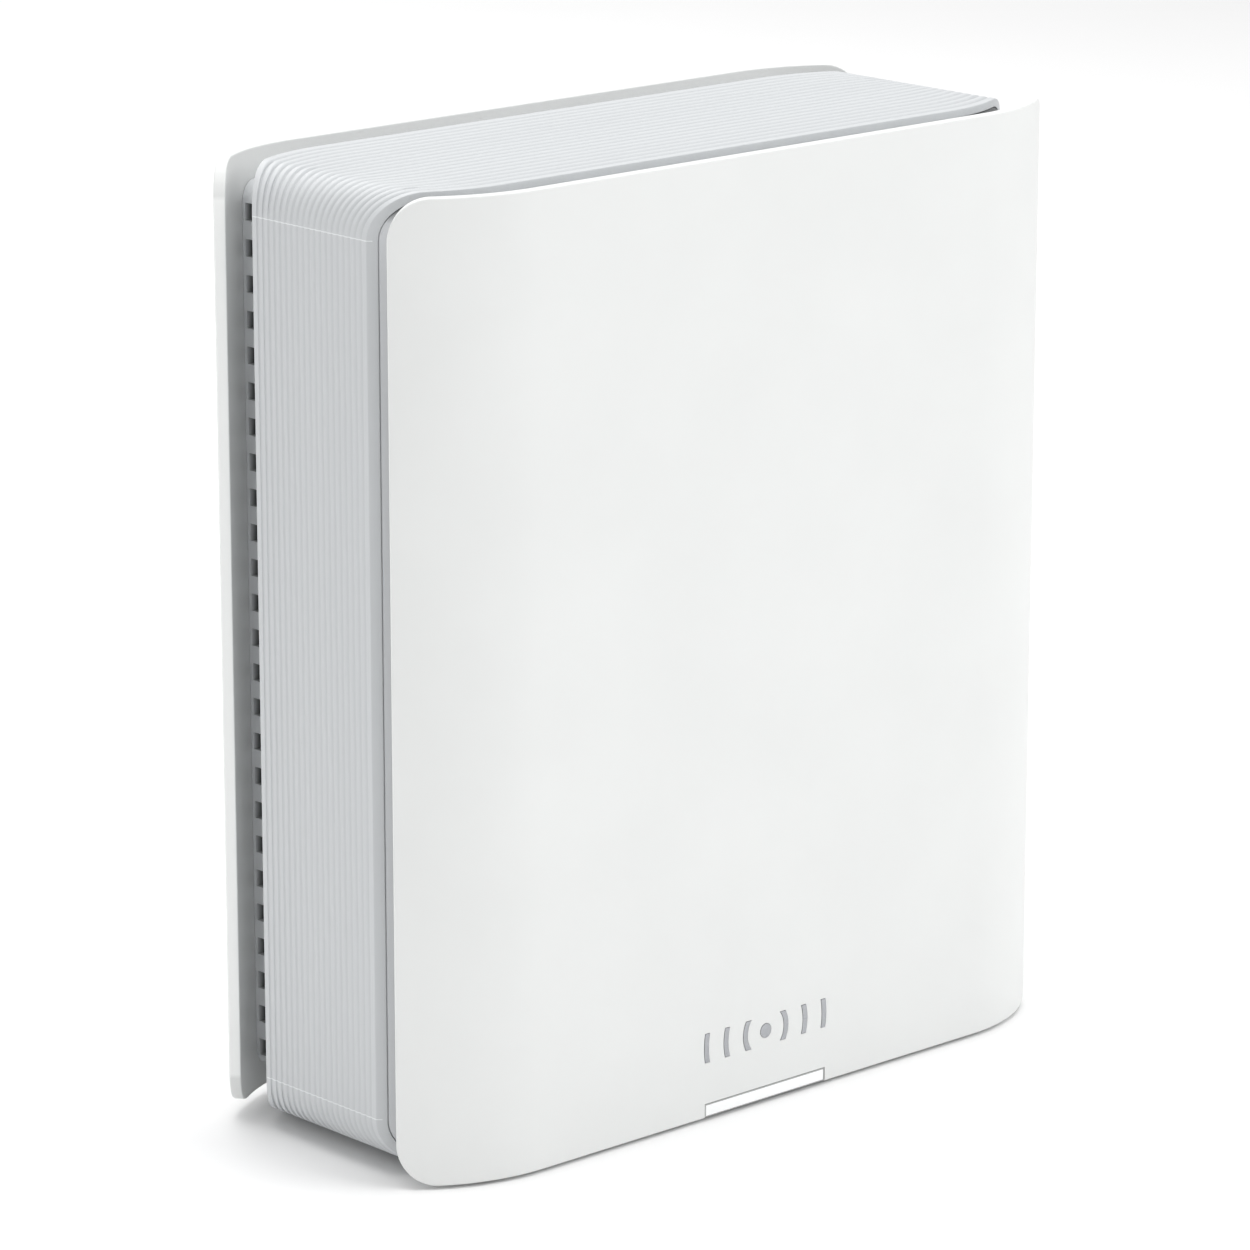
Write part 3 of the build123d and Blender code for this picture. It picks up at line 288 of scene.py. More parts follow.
class Recipe:
    """Node tree of one material."""

    def __init__(self, name: str) -> None:
        """Start an empty material."""
        self.material = bpy.data.materials.new(name)
        self.material.use_nodes = True
        self.tree = self.material.node_tree
        self.tree.nodes.clear()

    def node(self, kind: str, settings: Optional[dict] = None, inputs: Optional[dict] = None,
             output: Union[int, str] = 0) -> Value:
        """Add any node.

        Args:
            kind: Blender's type name of the node.
            settings: properties that are set first.
            inputs: numbers, colours or values for its sockets, by name or place.
            output: which result is wanted.

        Returns:
            The wanted result.
        """
        node = self.tree.nodes.new(kind)
        for name, value in (settings or {}).items():
            setattr(node, name, value)
        for name, value in (inputs or {}).items():
            if isinstance(value, Value):
                self.tree.links.new(value.socket, node.inputs[name])
            else:
                node.inputs[name].default_value = value
        return Value(self.tree, node.outputs[output])

    def place(self, stretch: Sequence[float] = (1.0, 1.0, 1.0)) -> Value:
        """Object coordinates, stretched along the axes."""
        here = self.node("ShaderNodeTexCoord", output="Object")
        return self.node("ShaderNodeMapping", None, {"Vector": here, "Scale": stretch})

    def axes(self) -> tuple[Value, Value, Value]:
        """The three object coordinates as separate values."""
        here = self.node("ShaderNodeTexCoord", output="Object")
        split = self.tree.nodes.new("ShaderNodeSeparateXYZ")
        self.tree.links.new(here.socket, split.inputs[0])
        return tuple(Value(self.tree, socket) for socket in split.outputs)

    def noise(self, scale: float, detail: float = 2.0, stretch: Sequence[float] = (1.0, 1.0, 1.0)) -> Value:
        """Soft noise between 0 and 1 at a scale in cells per metre."""
        return self.node("ShaderNodeTexNoise", None,
                         {"Vector": self.place(stretch), "Scale": scale, "Detail": detail})

    def blend(self, share: Operand, first: Union[Value, Colour], second: Union[Value, Colour]) -> Value:
        """Mix two colours.

        Args:
            share: how much of the second colour, from 0 to 1.
            first: colour at 0.
            second: colour at 1.

        Returns:
            The mixed colour.
        """
        node = self.tree.nodes.new("ShaderNodeMix")
        node.data_type = "RGBA"
        sockets = (node.inputs[0], node.inputs[6], node.inputs[7])
        for slot, value in zip(sockets, (share, first, second)):
            if isinstance(value, Value):
                self.tree.links.new(value.socket, slot)
            elif isinstance(value, tuple):
                slot.default_value = (*value, 1.0)
            else:
                slot.default_value = value
        return Value(self.tree, node.outputs[2])

    def relief(self, height: Value, depth: float, strength: float = 1.0) -> Value:
        """Normal of a surface whose relief is height, depth metres deep."""
        return self.node("ShaderNodeBump", None, {"Height": height, "Distance": depth, "Strength": strength})

    def surface(self, **inputs: object) -> bpy.types.Material:
        """Close the material with a Principled shader.

        Args:
            inputs: the shader's sockets, with _ for the spaces in their names.

        Returns:
            The finished material.
        """
        named = {name.replace("_", " "): value for name, value in inputs.items()}
        shader = self.node("ShaderNodeBsdfPrincipled", None, named)
        end = self.tree.nodes.new("ShaderNodeOutputMaterial")
        self.tree.links.new(shader.socket, end.inputs["Surface"])
        return self.material


@dataclass(frozen=True)
class Finish:
    """What every finish has: its name and its main colour."""

    slot: str
    colour: Colour
    roughness: float = 0.5

    def shade(self, factor: float) -> Colour:
        """The main colour, lighter or darker."""
        return tuple(min(1.0, channel * factor) for channel in self.colour)

    def material(self) -> bpy.types.Material:
        """Make the material."""
        raise NotImplementedError


@dataclass(frozen=True)
class MouldedPlastic(Finish):
    """Plastic from a spark-eroded mould: a fine even grain and a faint flow mottle."""

    grain: float = 0.35 * MM
    depth: float = 0.012 * MM
    mottle: float = 0.03

    def material(self) -> bpy.types.Material:
        """Make the material."""
        recipe = Recipe(self.slot)
        grain = recipe.noise(1 / self.grain, 3.0)
        rough = self.roughness - 0.05 + 0.1 * grain
        return recipe.surface(Base_Color=self.tone(recipe), Roughness=rough,
                              Normal=recipe.relief(grain, self.depth), Specular_IOR_Level=0.4)

    def tone(self, recipe: Recipe) -> Value:
        """Faintly mottled colour."""
        cloud = recipe.noise(1 / (40 * MM), 2.0)
        return recipe.blend(cloud, self.shade(1 - self.mottle), self.shade(1 + self.mottle))


@dataclass(frozen=True)
class CoverPlastic(MouldedPlastic):
    """The covers' plastic, with a painted highlight that makes the narrow faces round a cover paler."""

    painted_edge_highlight: float = 1.18

    def tone(self, recipe: Recipe) -> Value:
        """Mottled colour, with a painted highlight that makes the narrow faces paler."""
        narrow = recipe.node("ShaderNodeAttribute", {"attribute_name": CUT_EDGE}, output="Fac")
        # Painted highlight: the narrow faces are lightened as if they caught the light.
        return recipe.blend(narrow, super().tone(recipe), self.shade(self.painted_edge_highlight))


@dataclass(frozen=True)
class VentPlastic(MouldedPlastic):
    """The vent frames' plastic, with painted shade inside the air holes and in the gap under the body's top.
    """

    outside: float = 103.1 * MM
    inside: float = 101.0 * MM
    middle: float = 133.0 * MM
    half_rise: float = 119.0 * MM
    gap_start: float = 256.5 * MM
    gap_end: float = 260.0 * MM
    painted_recess_shade: float = 0.2

    def tone(self, recipe: Recipe) -> Value:
        """Mottled colour with painted shade, darkening it into the air holes and into the top gap."""
        across, _, height = recipe.axes()
        # Painted shade: darkening into the air holes and into the gap under the body's top.
        fade = recipe.node("ShaderNodeMapRange", None, {0: abs(across), 1: self.outside, 2: self.inside})
        beside_holes = abs(height - self.middle).below(self.half_rise)
        gap = recipe.node("ShaderNodeMapRange", None, {0: height, 1: self.gap_start, 2: self.gap_end})
        return recipe.blend(fade * beside_holes + gap, super().tone(recipe), self.shade(self.painted_recess_shade))


@dataclass(frozen=True)
class RibbedPlastic(Finish):
    """Satin plastic of the band, with fine draw lines along its ribs, painted shade in its grooves and a
    light seam at each corner.
    """

    painted_groove_shade: float = 0.84
    line: float = 0.5 * MM
    seam: float = 0.28 * MM
    seam_heights: tuple[float, float] = (15.8 * MM, 252.0 * MM)
    side: float = 114.6 * MM

    def material(self) -> bpy.types.Material:
        """Make the material."""
        recipe = Recipe(self.slot)
        across, _, height = recipe.axes()
        lines = recipe.noise(1 / self.line, 2.0, (0.02, 1.0, 0.02))
        cloud = recipe.noise(1 / (60 * MM), 2.0)
        seams = (abs(height - self.seam_heights[0])).below(self.seam / 2)
        seams = seams + (abs(height - self.seam_heights[1])).below(self.seam / 2)
        seams = seams * abs(across).above(self.side)
        groove = recipe.node("ShaderNodeAttribute", {"attribute_name": GROOVE}, output="Fac")
        tone = recipe.blend(lines, self.shade(0.985), self.shade(1.015))
        tone = recipe.blend(cloud * 0.25, tone, self.shade(1.05))
        # Painted shade: the grooves are darkened by how deep each point lies in them.
        tone = recipe.blend(groove, tone, self.shade(self.painted_groove_shade))
        tone = recipe.blend(seams * 0.55, tone, (0.93, 0.95, 0.96))
        return recipe.surface(Base_Color=tone, Roughness=self.roughness - 0.06 + 0.12 * lines,
                              Normal=recipe.relief(lines, 0.008 * MM), Specular_IOR_Level=0.45)


@dataclass(frozen=True)
class DrawnMetal(Finish):
    """Sheet or extruded metal with lines along one axis."""

    along: Sequence[float] = (1.0, 1.0, 0.04)
    line: float = 0.25 * MM
    depth: float = 0.01 * MM

    def material(self) -> bpy.types.Material:
        """Make the material."""
        recipe = Recipe(self.slot)
        lines = recipe.noise(1 / self.line, 3.0, self.along)
        cloud = recipe.noise(1 / (15 * MM), 2.0)
        tone = recipe.blend(cloud, self.shade(0.93), self.shade(1.04))
        rough = self.roughness - 0.08 + 0.16 * lines
        return self.close(recipe, tone, rough, recipe.relief(lines, self.depth))

    def close(self, recipe: Recipe, tone: Value, rough: Value, normal: Value) -> bpy.types.Material:
        """Finish the material as bare metal all over."""
        return recipe.surface(Base_Color=tone, Metallic=1.0, Roughness=rough, Normal=normal)


@dataclass(frozen=True)
class LinedShell(DrawnMetal):
    """Metal shell of a socket at the back, with a dark plastic body behind its mouth."""

    mouth: float = 44.4 * MM
    lining: Colour = (0.018, 0.018, 0.02)

    def close(self, recipe: Recipe, tone: Value, rough: Value, normal: Value) -> bpy.types.Material:
        """Finish the material as metal round the mouth and as plastic behind it."""
        _, depth, _ = recipe.axes()
        inside = depth.below(self.mouth)
        return recipe.surface(Base_Color=recipe.blend(inside, tone, self.lining), Metallic=1 - inside,
                              Roughness=rough + 0.1 * inside, Normal=normal)


@dataclass(frozen=True)
class SoftRubber(Finish):
    """Matte rubber or gap filler with a coarse, dry grain."""

    grain: float = 0.5 * MM

    def material(self) -> bpy.types.Material:
        """Make the material."""
        recipe = Recipe(self.slot)
        grain = recipe.noise(1 / self.grain, 4.0)
        dust = recipe.noise(1 / (9 * MM), 3.0)
        tone = recipe.blend(dust * 0.5, self.colour, self.shade(1.35))
        return recipe.surface(Base_Color=tone, Roughness=self.roughness + 0.1 * grain,
                              Normal=recipe.relief(grain, 0.05 * MM), Specular_IOR_Level=0.3)


@dataclass(frozen=True)
class SolderMask(Finish):
    """Circuit board: solder mask over copper tracks, seen as lighter lines."""

    pitch: float = 2.4 * MM

    def material(self) -> bpy.types.Material:
        """Make the material."""
        recipe = Recipe(self.slot)
        tracks = recipe.node("ShaderNodeTexBrick", {"offset": 0.5},
                             {"Vector": recipe.place((1.0, 0.0, 1.0)), "Scale": 1 / (6 * self.pitch),
                              "Mortar Size": 0.03, "Brick Width": 0.7, "Row Height": 0.3}, "Fac")
        cloud = recipe.noise(1 / (12 * MM), 2.0)
        tone = recipe.blend(cloud * 0.4, self.colour, self.shade(1.3))
        tone = recipe.blend(tracks * 0.6, tone, self.shade(1.9))
        return recipe.surface(Base_Color=tone, Roughness=self.roughness + 0.1 * cloud,
                              Normal=recipe.relief(tracks, 0.04 * MM))


@dataclass(frozen=True)
class DiffusingLens(Finish):
    """Milky plastic that spreads the light of the lamps behind it."""

    glow: float = 0.0

    def material(self) -> bpy.types.Material:
        """Make the material."""
        recipe = Recipe(self.slot)
        cloud = recipe.noise(1 / (3 * MM), 3.0)
        tone = self.tone(recipe, cloud)
        return recipe.surface(Base_Color=tone, Roughness=self.roughness + 0.08 * cloud,
                              Emission_Color=tone, Emission_Strength=self.glow, Specular_IOR_Level=0.5)

    def tone(self, recipe: Recipe, cloud: Value) -> Value:
        """Milky colour, faintly clouded."""
        return recipe.blend(cloud, self.shade(0.96), self.shade(1.03))


@dataclass(frozen=True)
class BarLens(DiffusingLens):
    """The light bar's lens, with a thin grey line of painted gap shade all round its edge."""

    rim: float = 0.3 * MM
    painted_gap_shade: float = 0.45

    def tone(self, recipe: Recipe, cloud: Value) -> Value:
        """Milky colour inside a grey rim of painted gap shade."""
        across, _, height = recipe.axes()
        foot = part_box("front_panel")[0][2] + LightBar.foot_gap
        middle = foot + LightBar.height / 2
        # Painted shade of the gap round the bar: a grey line along the lens's edges.
        gap_shade_mask = abs(across).above(LightBar.half_width - self.rim)
        gap_shade_mask = gap_shade_mask + abs(height - middle).above(LightBar.height / 2 - self.rim)
        return recipe.blend(gap_shade_mask, super().tone(recipe, cloud), self.shade(self.painted_gap_shade))


FINISHES: tuple[Finish, ...] = (
    CoverPlastic("cover_white", (0.765, 0.775, 0.768), 0.5),
    RibbedPlastic("body_grey", (0.58, 0.597, 0.61), 0.42),
    VentPlastic("frame_grey", (0.68, 0.695, 0.71), 0.5),
    MouldedPlastic("port_grey", (0.30, 0.31, 0.32), 0.55),
    BarLens("light_bar", (0.88, 0.89, 0.89), 0.3, glow=0.12),
    DiffusingLens("clear_guide", (0.80, 0.83, 0.84), 0.15),
    SolderMask("board_green", (0.03, 0.14, 0.07), 0.35),
    SolderMask("antenna_green", (0.04, 0.17, 0.10), 0.35),
    DrawnMetal("badge_silver", (0.42, 0.43, 0.45), 0.24, along=(0.04, 1.0, 1.0)),
    SoftRubber("foot_rubber", (0.06, 0.062, 0.065), 0.7),
    MouldedPlastic("label_silver", (0.55, 0.56, 0.57), 0.4),
    MouldedPlastic("inner_plastic", (0.03, 0.03, 0.032), 0.5),
    DrawnMetal("chassis_steel", (0.55, 0.56, 0.57), 0.38),
    DrawnMetal("screw_steel", (0.5, 0.51, 0.53), 0.3, along=(1.0, 1.0, 1.0)),
    MouldedPlastic("chip_black", (0.02, 0.02, 0.022), 0.45),
    SoftRubber("pad_grey", (0.3, 0.32, 0.4), 0.75),
    DrawnMetal("sink_aluminium", (0.72, 0.73, 0.74), 0.42),
    DrawnMetal("can_steel", (0.6, 0.61, 0.62), 0.32, along=(0.04, 1.0, 1.0)),
    DrawnMetal("capacitor_aluminium", (0.66, 0.67, 0.68), 0.25, along=(1.0, 0.04, 1.0)),
    DrawnMetal("contact_gold", (0.83, 0.6, 0.22), 0.25),
    LinedShell("jack_black", (0.52, 0.53, 0.54), 0.3, along=(0.04, 1.0, 1.0)),
    LinedShell("usb_steel", (0.58, 0.59, 0.6), 0.28, along=(0.04, 1.0, 1.0), mouth=45.0 * MM),
    MouldedPlastic("socket_black", (0.025, 0.025, 0.028), 0.4),
    MouldedPlastic("button_grey", (0.16, 0.165, 0.17), 0.45),
)


class Wardrobe:
    """All finishes of the router, made once, and put on nodes and pieces."""

    def __init__(self, finishes: Iterable[Finish]) -> None:
        """Make every material."""
        self.materials = {finish.slot: finish.material() for finish in finishes}

    def dress(self, piece: bpy.types.Object, slot: str) -> None:
        """Give a new piece its finish and name its material slot."""
        piece.data.materials.clear()
        piece.data.materials.append(self.materials[slot])

    def dress_nodes(self) -> None:
        """Give every CAD node the finish that the record names."""
        for part in frame["record"]["subparts"]:
            node = frame["nodes"][part["node"]]
            for place in node.material_slots:
                place.material = self.materials[part["material_slot"]]


# Sub-assemblies -------------------------------------------------------------------------------


@dataclass
class Cover:
    """A bent cover: a sheet laid out flat, rounded at its corners, thickened and bent at both ends."""

    wardrobe: Wardrobe
    facing: Facing
    node: str
    width: float = 238.2 * MM
    flat_half: float = 81.8 * MM
    end_angle: float = math.radians(46.8)
    thickness: float = 3.2 * MM
    corner: float = 11.5 * MM
    edge: float = 0.45 * MM
    skin_gap: float = 0.08 * MM
    bend_steps: int = 26
    corner_steps: int = 14

    def __post_init__(self) -> None:
        """Work out the radius of the bent ends and the laid-out length."""
        self.radius = (self.width / 2 - self.flat_half) / math.sin(self.end_angle)
        self.arc = self.radius * self.end_angle
        self.low, self.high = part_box(self.node)
        self.depth = max(abs(self.low[1]), abs(self.high[1])) - self.skin_gap

    def laid_out(self) -> bpy.types.Object:
        """Flat sheet with rounded corners and a cut at each bending line."""
        Bench.clear()
        height = self.high[2] - self.low[2]
        middle = (self.high[2] + self.low[2]) / 2
        bpy.ops.mesh.primitive_plane_add(size=1.0, location=(0, 0, middle), rotation=(math.pi / 2, 0, 0))
        bpy.context.object.scale = (2 * (self.flat_half + self.arc), height, 1.0)
        sheet = Bench.settle(self.node + "_skin")
        Bench.edit(sheet)
        bpy.ops.mesh.select_all(action="SELECT")
        bpy.ops.mesh.bevel(offset=self.corner, segments=self.corner_steps, affect="VERTICES")
        for step in range(self.bend_steps):
            for side in (-1, 1):
                place = side * (self.flat_half + self.arc * step / self.bend_steps)
                bpy.ops.mesh.select_all(action="SELECT")
                bpy.ops.mesh.bisect(plane_co=(place, 0, 0), plane_no=(1, 0, 0))
        bpy.ops.object.mode_set(mode="OBJECT")
        return sheet

    def mark_narrow_faces(self, sheet: bpy.types.Object) -> None:
        """Store a 1 on the points of the upright narrow faces, and a 0 on all others."""
        limit = self.flat_half + self.arc - self.edge / 2
        # This mark is used to paint a highlight on the narrow faces.
        marks = sheet.data.attributes.new(CUT_EDGE, "FLOAT", "POINT")
        marks.data.foreach_set("value", [float(abs(v.co.x) > limit) for v in sheet.data.vertices])

    def bend(self, sheet: bpy.types.Object) -> None:
        """Bend both ends of the flat sheet back round an upright axis."""
        for vertex in sheet.data.vertices:
            run = abs(vertex.co.x) - self.flat_half
            depth = vertex.co.y
            vertex.co.y = depth - self.depth
            if run > 0:
                turn = run / self.radius
                reach = self.radius - depth
                vertex.co.x = math.copysign(self.flat_half + reach * math.sin(turn), vertex.co.x)
                vertex.co.y = self.radius - self.depth - reach * math.cos(turn)

    def build(self) -> bpy.types.Object:
        """Build the cover and hand it over dressed.

        Returns:
            The finished cover.
        """
        sheet = self.laid_out()
        Bench.modify(sheet, "SOLIDIFY", thickness=self.thickness, offset=-1.0)
        Bench.round_edges(sheet, self.edge, sharp=50.0)
        self.mark_narrow_faces(sheet)
        self.bend(sheet)
        if self.facing is Facing.REAR:
            Bench.clear()
            sheet.rotation_euler = (0, 0, math.pi)
            sheet.select_set(True)
            bpy.context.view_layer.objects.active = sheet
            Bench.settle(sheet.name)
        self.open_up(sheet)
        Bench.smooth(sheet)
        Bench.even_shading(sheet)
        self.wardrobe.dress(sheet, "cover_white")
        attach(sheet, "housing")
        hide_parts(self.node)
        return sheet

    def open_up(self, sheet: bpy.types.Object) -> None:
        """Cut the cover's openings; the plain cover has none."""


@dataclass
class FrontCover(Cover):
    """Front cover, with the notch of the light bar in its foot."""

    notch_half_width: float = 22.85 * MM
    notch_height: float = 4.1 * MM
    reach: float = 5.0 * MM

    def open_up(self, sheet: bpy.types.Object) -> None:
        """Cut the notch of the light bar."""
        low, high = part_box("status_light")
        half, top = self.notch_half_width, self.low[2] + self.notch_height
        notch = Bench.block("notch", (-half, low[1] - self.reach, low[2] - self.reach),
                            (half, high[1] + self.reach, top))
        Bench.cut(sheet, notch)


@dataclass
class RearCover(Cover):
    """Rear cover, with the window of the socket bay."""

    window_width: float = 160.0 * MM
    window_height: float = 44.0 * MM
    window_middle: float = 45.0 * MM
    window_corner: float = 6.0 * MM
    window_depth: tuple[float, float] = (40.0 * MM, 60.0 * MM)

    def open_up(self, sheet: bpy.types.Object) -> None:
        """Cut the window of the socket bay."""
        half_width, half_height = self.window_width / 2, self.window_height / 2
        near, far = self.window_depth
        tool = Bench.block("window", (-half_width, near, self.window_middle - half_height),
                           (half_width, far, self.window_middle + half_height))
        Bench.edit(tool)
        Bench.pick(tool, Element.EDGE, lambda edge: abs(edge.verts[0].co.y - edge.verts[1].co.y) > 1 * MM)
        bpy.ops.mesh.bevel(offset=self.window_corner, segments=8, affect="EDGES")
        bpy.ops.object.mode_set(mode="OBJECT")
        Bench.cut(sheet, tool)


@dataclass
class RibbedBand:
    """The ring between the covers: a ribbed profile led round a rounded rectangle."""

    wardrobe: Wardrobe
    node: str = "body_band"
    flat_half: float = 81.8 * MM
    side_half_depth: float = 23.0 * MM
    corner: float = 12.5 * MM
    wall: float = 2.3 * MM
    rib_count: int = 20
    rib_depth: float = 0.8 * MM
    rib_share: float = 0.62
    rib_slope: float = 0.16
    side_relief: float = 0.3
    rim_round: float = 0.3 * MM
    rib_steps: int = 10
    bend_steps: int = 12
    corner_steps: int = 14

    def __post_init__(self) -> None:
        """Read the band's size from the frame."""
        self.low, self.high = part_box(self.node)
        self.half_width = self.high[0]
        self.half_depth = self.high[1]

    def rib_drop(self, y: float) -> float:
        """How far the ribbed surface lies under its crests at a depth y."""
        share = (y / self.half_depth + 1) / 2 * self.rib_count
        if share < 0.5 or share > self.rib_count - 0.5:
            return 0.0
        from_crest = abs(share - math.floor(share) - 0.5)
        step = (from_crest - self.rib_share / 2) / self.rib_slope + 0.5
        step = min(max(step, 0.0), 1.0)
        return self.rib_depth * step * step * (3 - 2 * step)

    def profile(self) -> bpy.types.Object:
        """Closed section of the band at the start of its top, as a loop of edges."""
        Bench.clear()
        start = -(self.half_width - self.corner)
        bpy.ops.mesh.primitive_plane_add(size=1.0, rotation=(0, math.pi / 2, 0))
        bpy.context.object.scale = (self.wall, 2 * self.half_depth, 1.0)
        bpy.context.object.location = (start, 0, self.high[2] - self.wall / 2)
        section = Bench.settle("body_band_skin")
        Bench.edit(section)
        Bench.pick(section, Element.VERTEX, lambda _: True)
        bpy.ops.mesh.bevel(offset=self.rim_round, segments=3, affect="VERTICES")
        bpy.ops.mesh.select_all(action="SELECT")
        bpy.ops.mesh.delete(type="ONLY_FACE")
        top = self.high[2] - 0.01 * MM
        Bench.pick(section, Element.EDGE, lambda edge: min(v.co.z for v in edge.verts) > top
                   and edge.calc_length() > self.half_depth)
        bpy.ops.mesh.subdivide(number_cuts=self.rib_count - 1)
        bpy.ops.mesh.subdivide(number_cuts=self.rib_steps - 1)
        bpy.ops.object.mode_set(mode="OBJECT")
        for vertex in section.data.vertices:
            if vertex.co.z > top:
                vertex.co.z -= self.rib_drop(vertex.co.y)
        return section

    def straight(self, towards: Vector, stops: Sequence[float]) -> None:
        """Lead the selected section along a straight side.

        Args:
            towards: direction of the side.
            stops: distances from the start at which the section is copied.
        """
        done = 0.0
        for stop in stops:
            bpy.ops.mesh.extrude_region_move(TRANSFORM_OT_translate={"value": towards * (stop - done)})
            done = stop

    def turn(self, side: int, level: int) -> None:
        """Lead the selected section round one corner.

        Args:
            side: -1 for the corners at -X, 1 for those at +X.
            level: -1 for the lower corners, 1 for the upper ones.
        """
        z = self.high[2] - self.corner if level > 0 else self.low[2] + self.corner
        centre = (side * (self.half_width - self.corner), 0, z)
        bpy.ops.mesh.spin(steps=self.corner_steps, angle=math.pi / 2, center=centre, axis=(0, -1, 0))

    def build(self) -> bpy.types.Object:
        """Build the band and hand it over dressed.

        Returns:
            The finished band.
        """
        ring = self.profile()
        half = self.half_width - self.corner
        bend = [self.flat_half + (half - self.flat_half) * step / self.bend_steps
                for step in range(1, self.bend_steps + 1)]
        across = [half - stop for stop in reversed(bend[:-1])]
        across += [half - self.flat_half, half + self.flat_half]
        across += [half + stop for stop in bend]
        rise = self.high[2] - self.low[2] - 2 * self.corner
        Bench.edit(ring)
        bpy.ops.mesh.select_all(action="SELECT")
        self.straight(Vector((1, 0, 0)), across)
        self.turn(1, 1)
        self.straight(Vector((0, 0, -1)), (rise,))
        self.turn(1, -1)
        self.straight(Vector((-1, 0, 0)), across)
        self.turn(-1, -1)
        self.straight(Vector((0, 0, 1)), (rise,))
        self.turn(-1, 1)
        bpy.ops.mesh.select_all(action="SELECT")
        bpy.ops.mesh.remove_doubles(threshold=0.01 * MM)
        bpy.ops.mesh.normals_make_consistent(inside=False)
        bpy.ops.object.mode_set(mode="OBJECT")
        self.mark_grooves(ring)
        self.ease_sides(ring)
        self.follow_plan(ring)
        Bench.smooth(ring, 60.0)
        self.wardrobe.dress(ring, "body_grey")
        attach(ring, "housing")
        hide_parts(self.node)
        return ring

    def relief_at(self, place: Vector) -> float:
        """Share of the full rib depth that a place on the ring has: 1 on top, less on the sides."""
        out_x, out_z = self.beyond_core(place)
        share = math.atan2(out_x, out_z) / (math.pi / 2) if out_x > 0 else 0.0
        return 1 + (self.side_relief - 1) * share

    def beyond_core(self, place: Vector) -> tuple[float, float]:
        """How far a place lies outside the rectangle between the corners' centres, in x and in z."""
        middle = (self.high[2] + self.low[2]) / 2
        half_rise = (self.high[2] - self.low[2]) / 2 - self.corner
        half_run = self.half_width - self.corner
        return max(abs(place.x) - half_run, 0.0), max(abs(place.z - middle) - half_rise, 0.0)

    def mark_grooves(self, ring: bpy.types.Object) -> None:
        """Store on each point how deep in a groove it lies, from 0 on a crest to 1."""
        depths = [self.rib_drop(vertex.co.y) / self.rib_depth * self.relief_at(vertex.co)
                  for vertex in ring.data.vertices]
        marks = ring.data.attributes.new(GROOVE, "FLOAT", "POINT")
        marks.data.foreach_set("value", depths)

    def ease_sides(self, ring: bpy.types.Object) -> None:
        """Make the ribs shallower towards the upright sides."""
        middle = (self.high[2] + self.low[2]) / 2
        half_rise = (self.high[2] - self.low[2]) / 2 - self.corner
        half_run = self.half_width - self.corner
        for vertex in ring.data.vertices:
            out_x, out_z = self.beyond_core(vertex.co)
            reach = math.hypot(out_x, out_z)
            drop = self.corner - reach
            if out_x <= 0 or reach <= 0 or drop > self.rib_depth * 1.01:
                continue
            kept = drop * self.relief_at(vertex.co)
            scale = (self.corner - kept) / reach
            vertex.co.x = math.copysign(half_run + out_x * scale, vertex.co.x)
            if out_z > 0:
                vertex.co.z = middle + math.copysign(half_rise + out_z * scale, vertex.co.z - middle)

    def follow_plan(self, ring: bpy.types.Object) -> None:
        """Narrow the band in depth towards its ends, layer by layer."""
        half = self.half_width - self.flat_half
        for vertex in ring.data.vertices:
            run = abs(vertex.co.x) - self.flat_half
            drop = abs(vertex.co.y) / self.half_depth * (self.half_depth - self.side_half_depth)
            if run <= 0 or drop < 0.001 * MM:
                continue
            radius = (half ** 2 + drop ** 2) / (2 * drop)
            pull = radius - math.sqrt(radius ** 2 - run ** 2)
            vertex.co.y -= math.copysign(pull, vertex.co.y)


@dataclass
class LightBar:
    """The milky light bar in the foot of the front cover."""

    wardrobe: Wardrobe
    half_width: float = 22.55 * MM
    foot_gap: float = 0.25 * MM
    height: float = 3.55 * MM
    sunk: float = 0.12 * MM
    back_gap: float = 0.1 * MM
    edge: float = 0.15 * MM

    def build(self) -> bpy.types.Object:
        """Build the bar and hand it over dressed.

        Returns:
            The finished bar.
        """
        low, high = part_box("status_light")
        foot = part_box("front_panel")[0][2] + self.foot_gap
        bar = Bench.block("light_bar_lens", (-self.half_width, low[1] + self.sunk, foot),
                          (self.half_width, high[1] - self.back_gap, foot + self.height))
        Bench.round_edges(bar, self.edge)
        Bench.smooth(bar)
        self.wardrobe.dress(bar, "light_bar")
        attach(bar, "housing")
        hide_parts("status_light")
        return bar


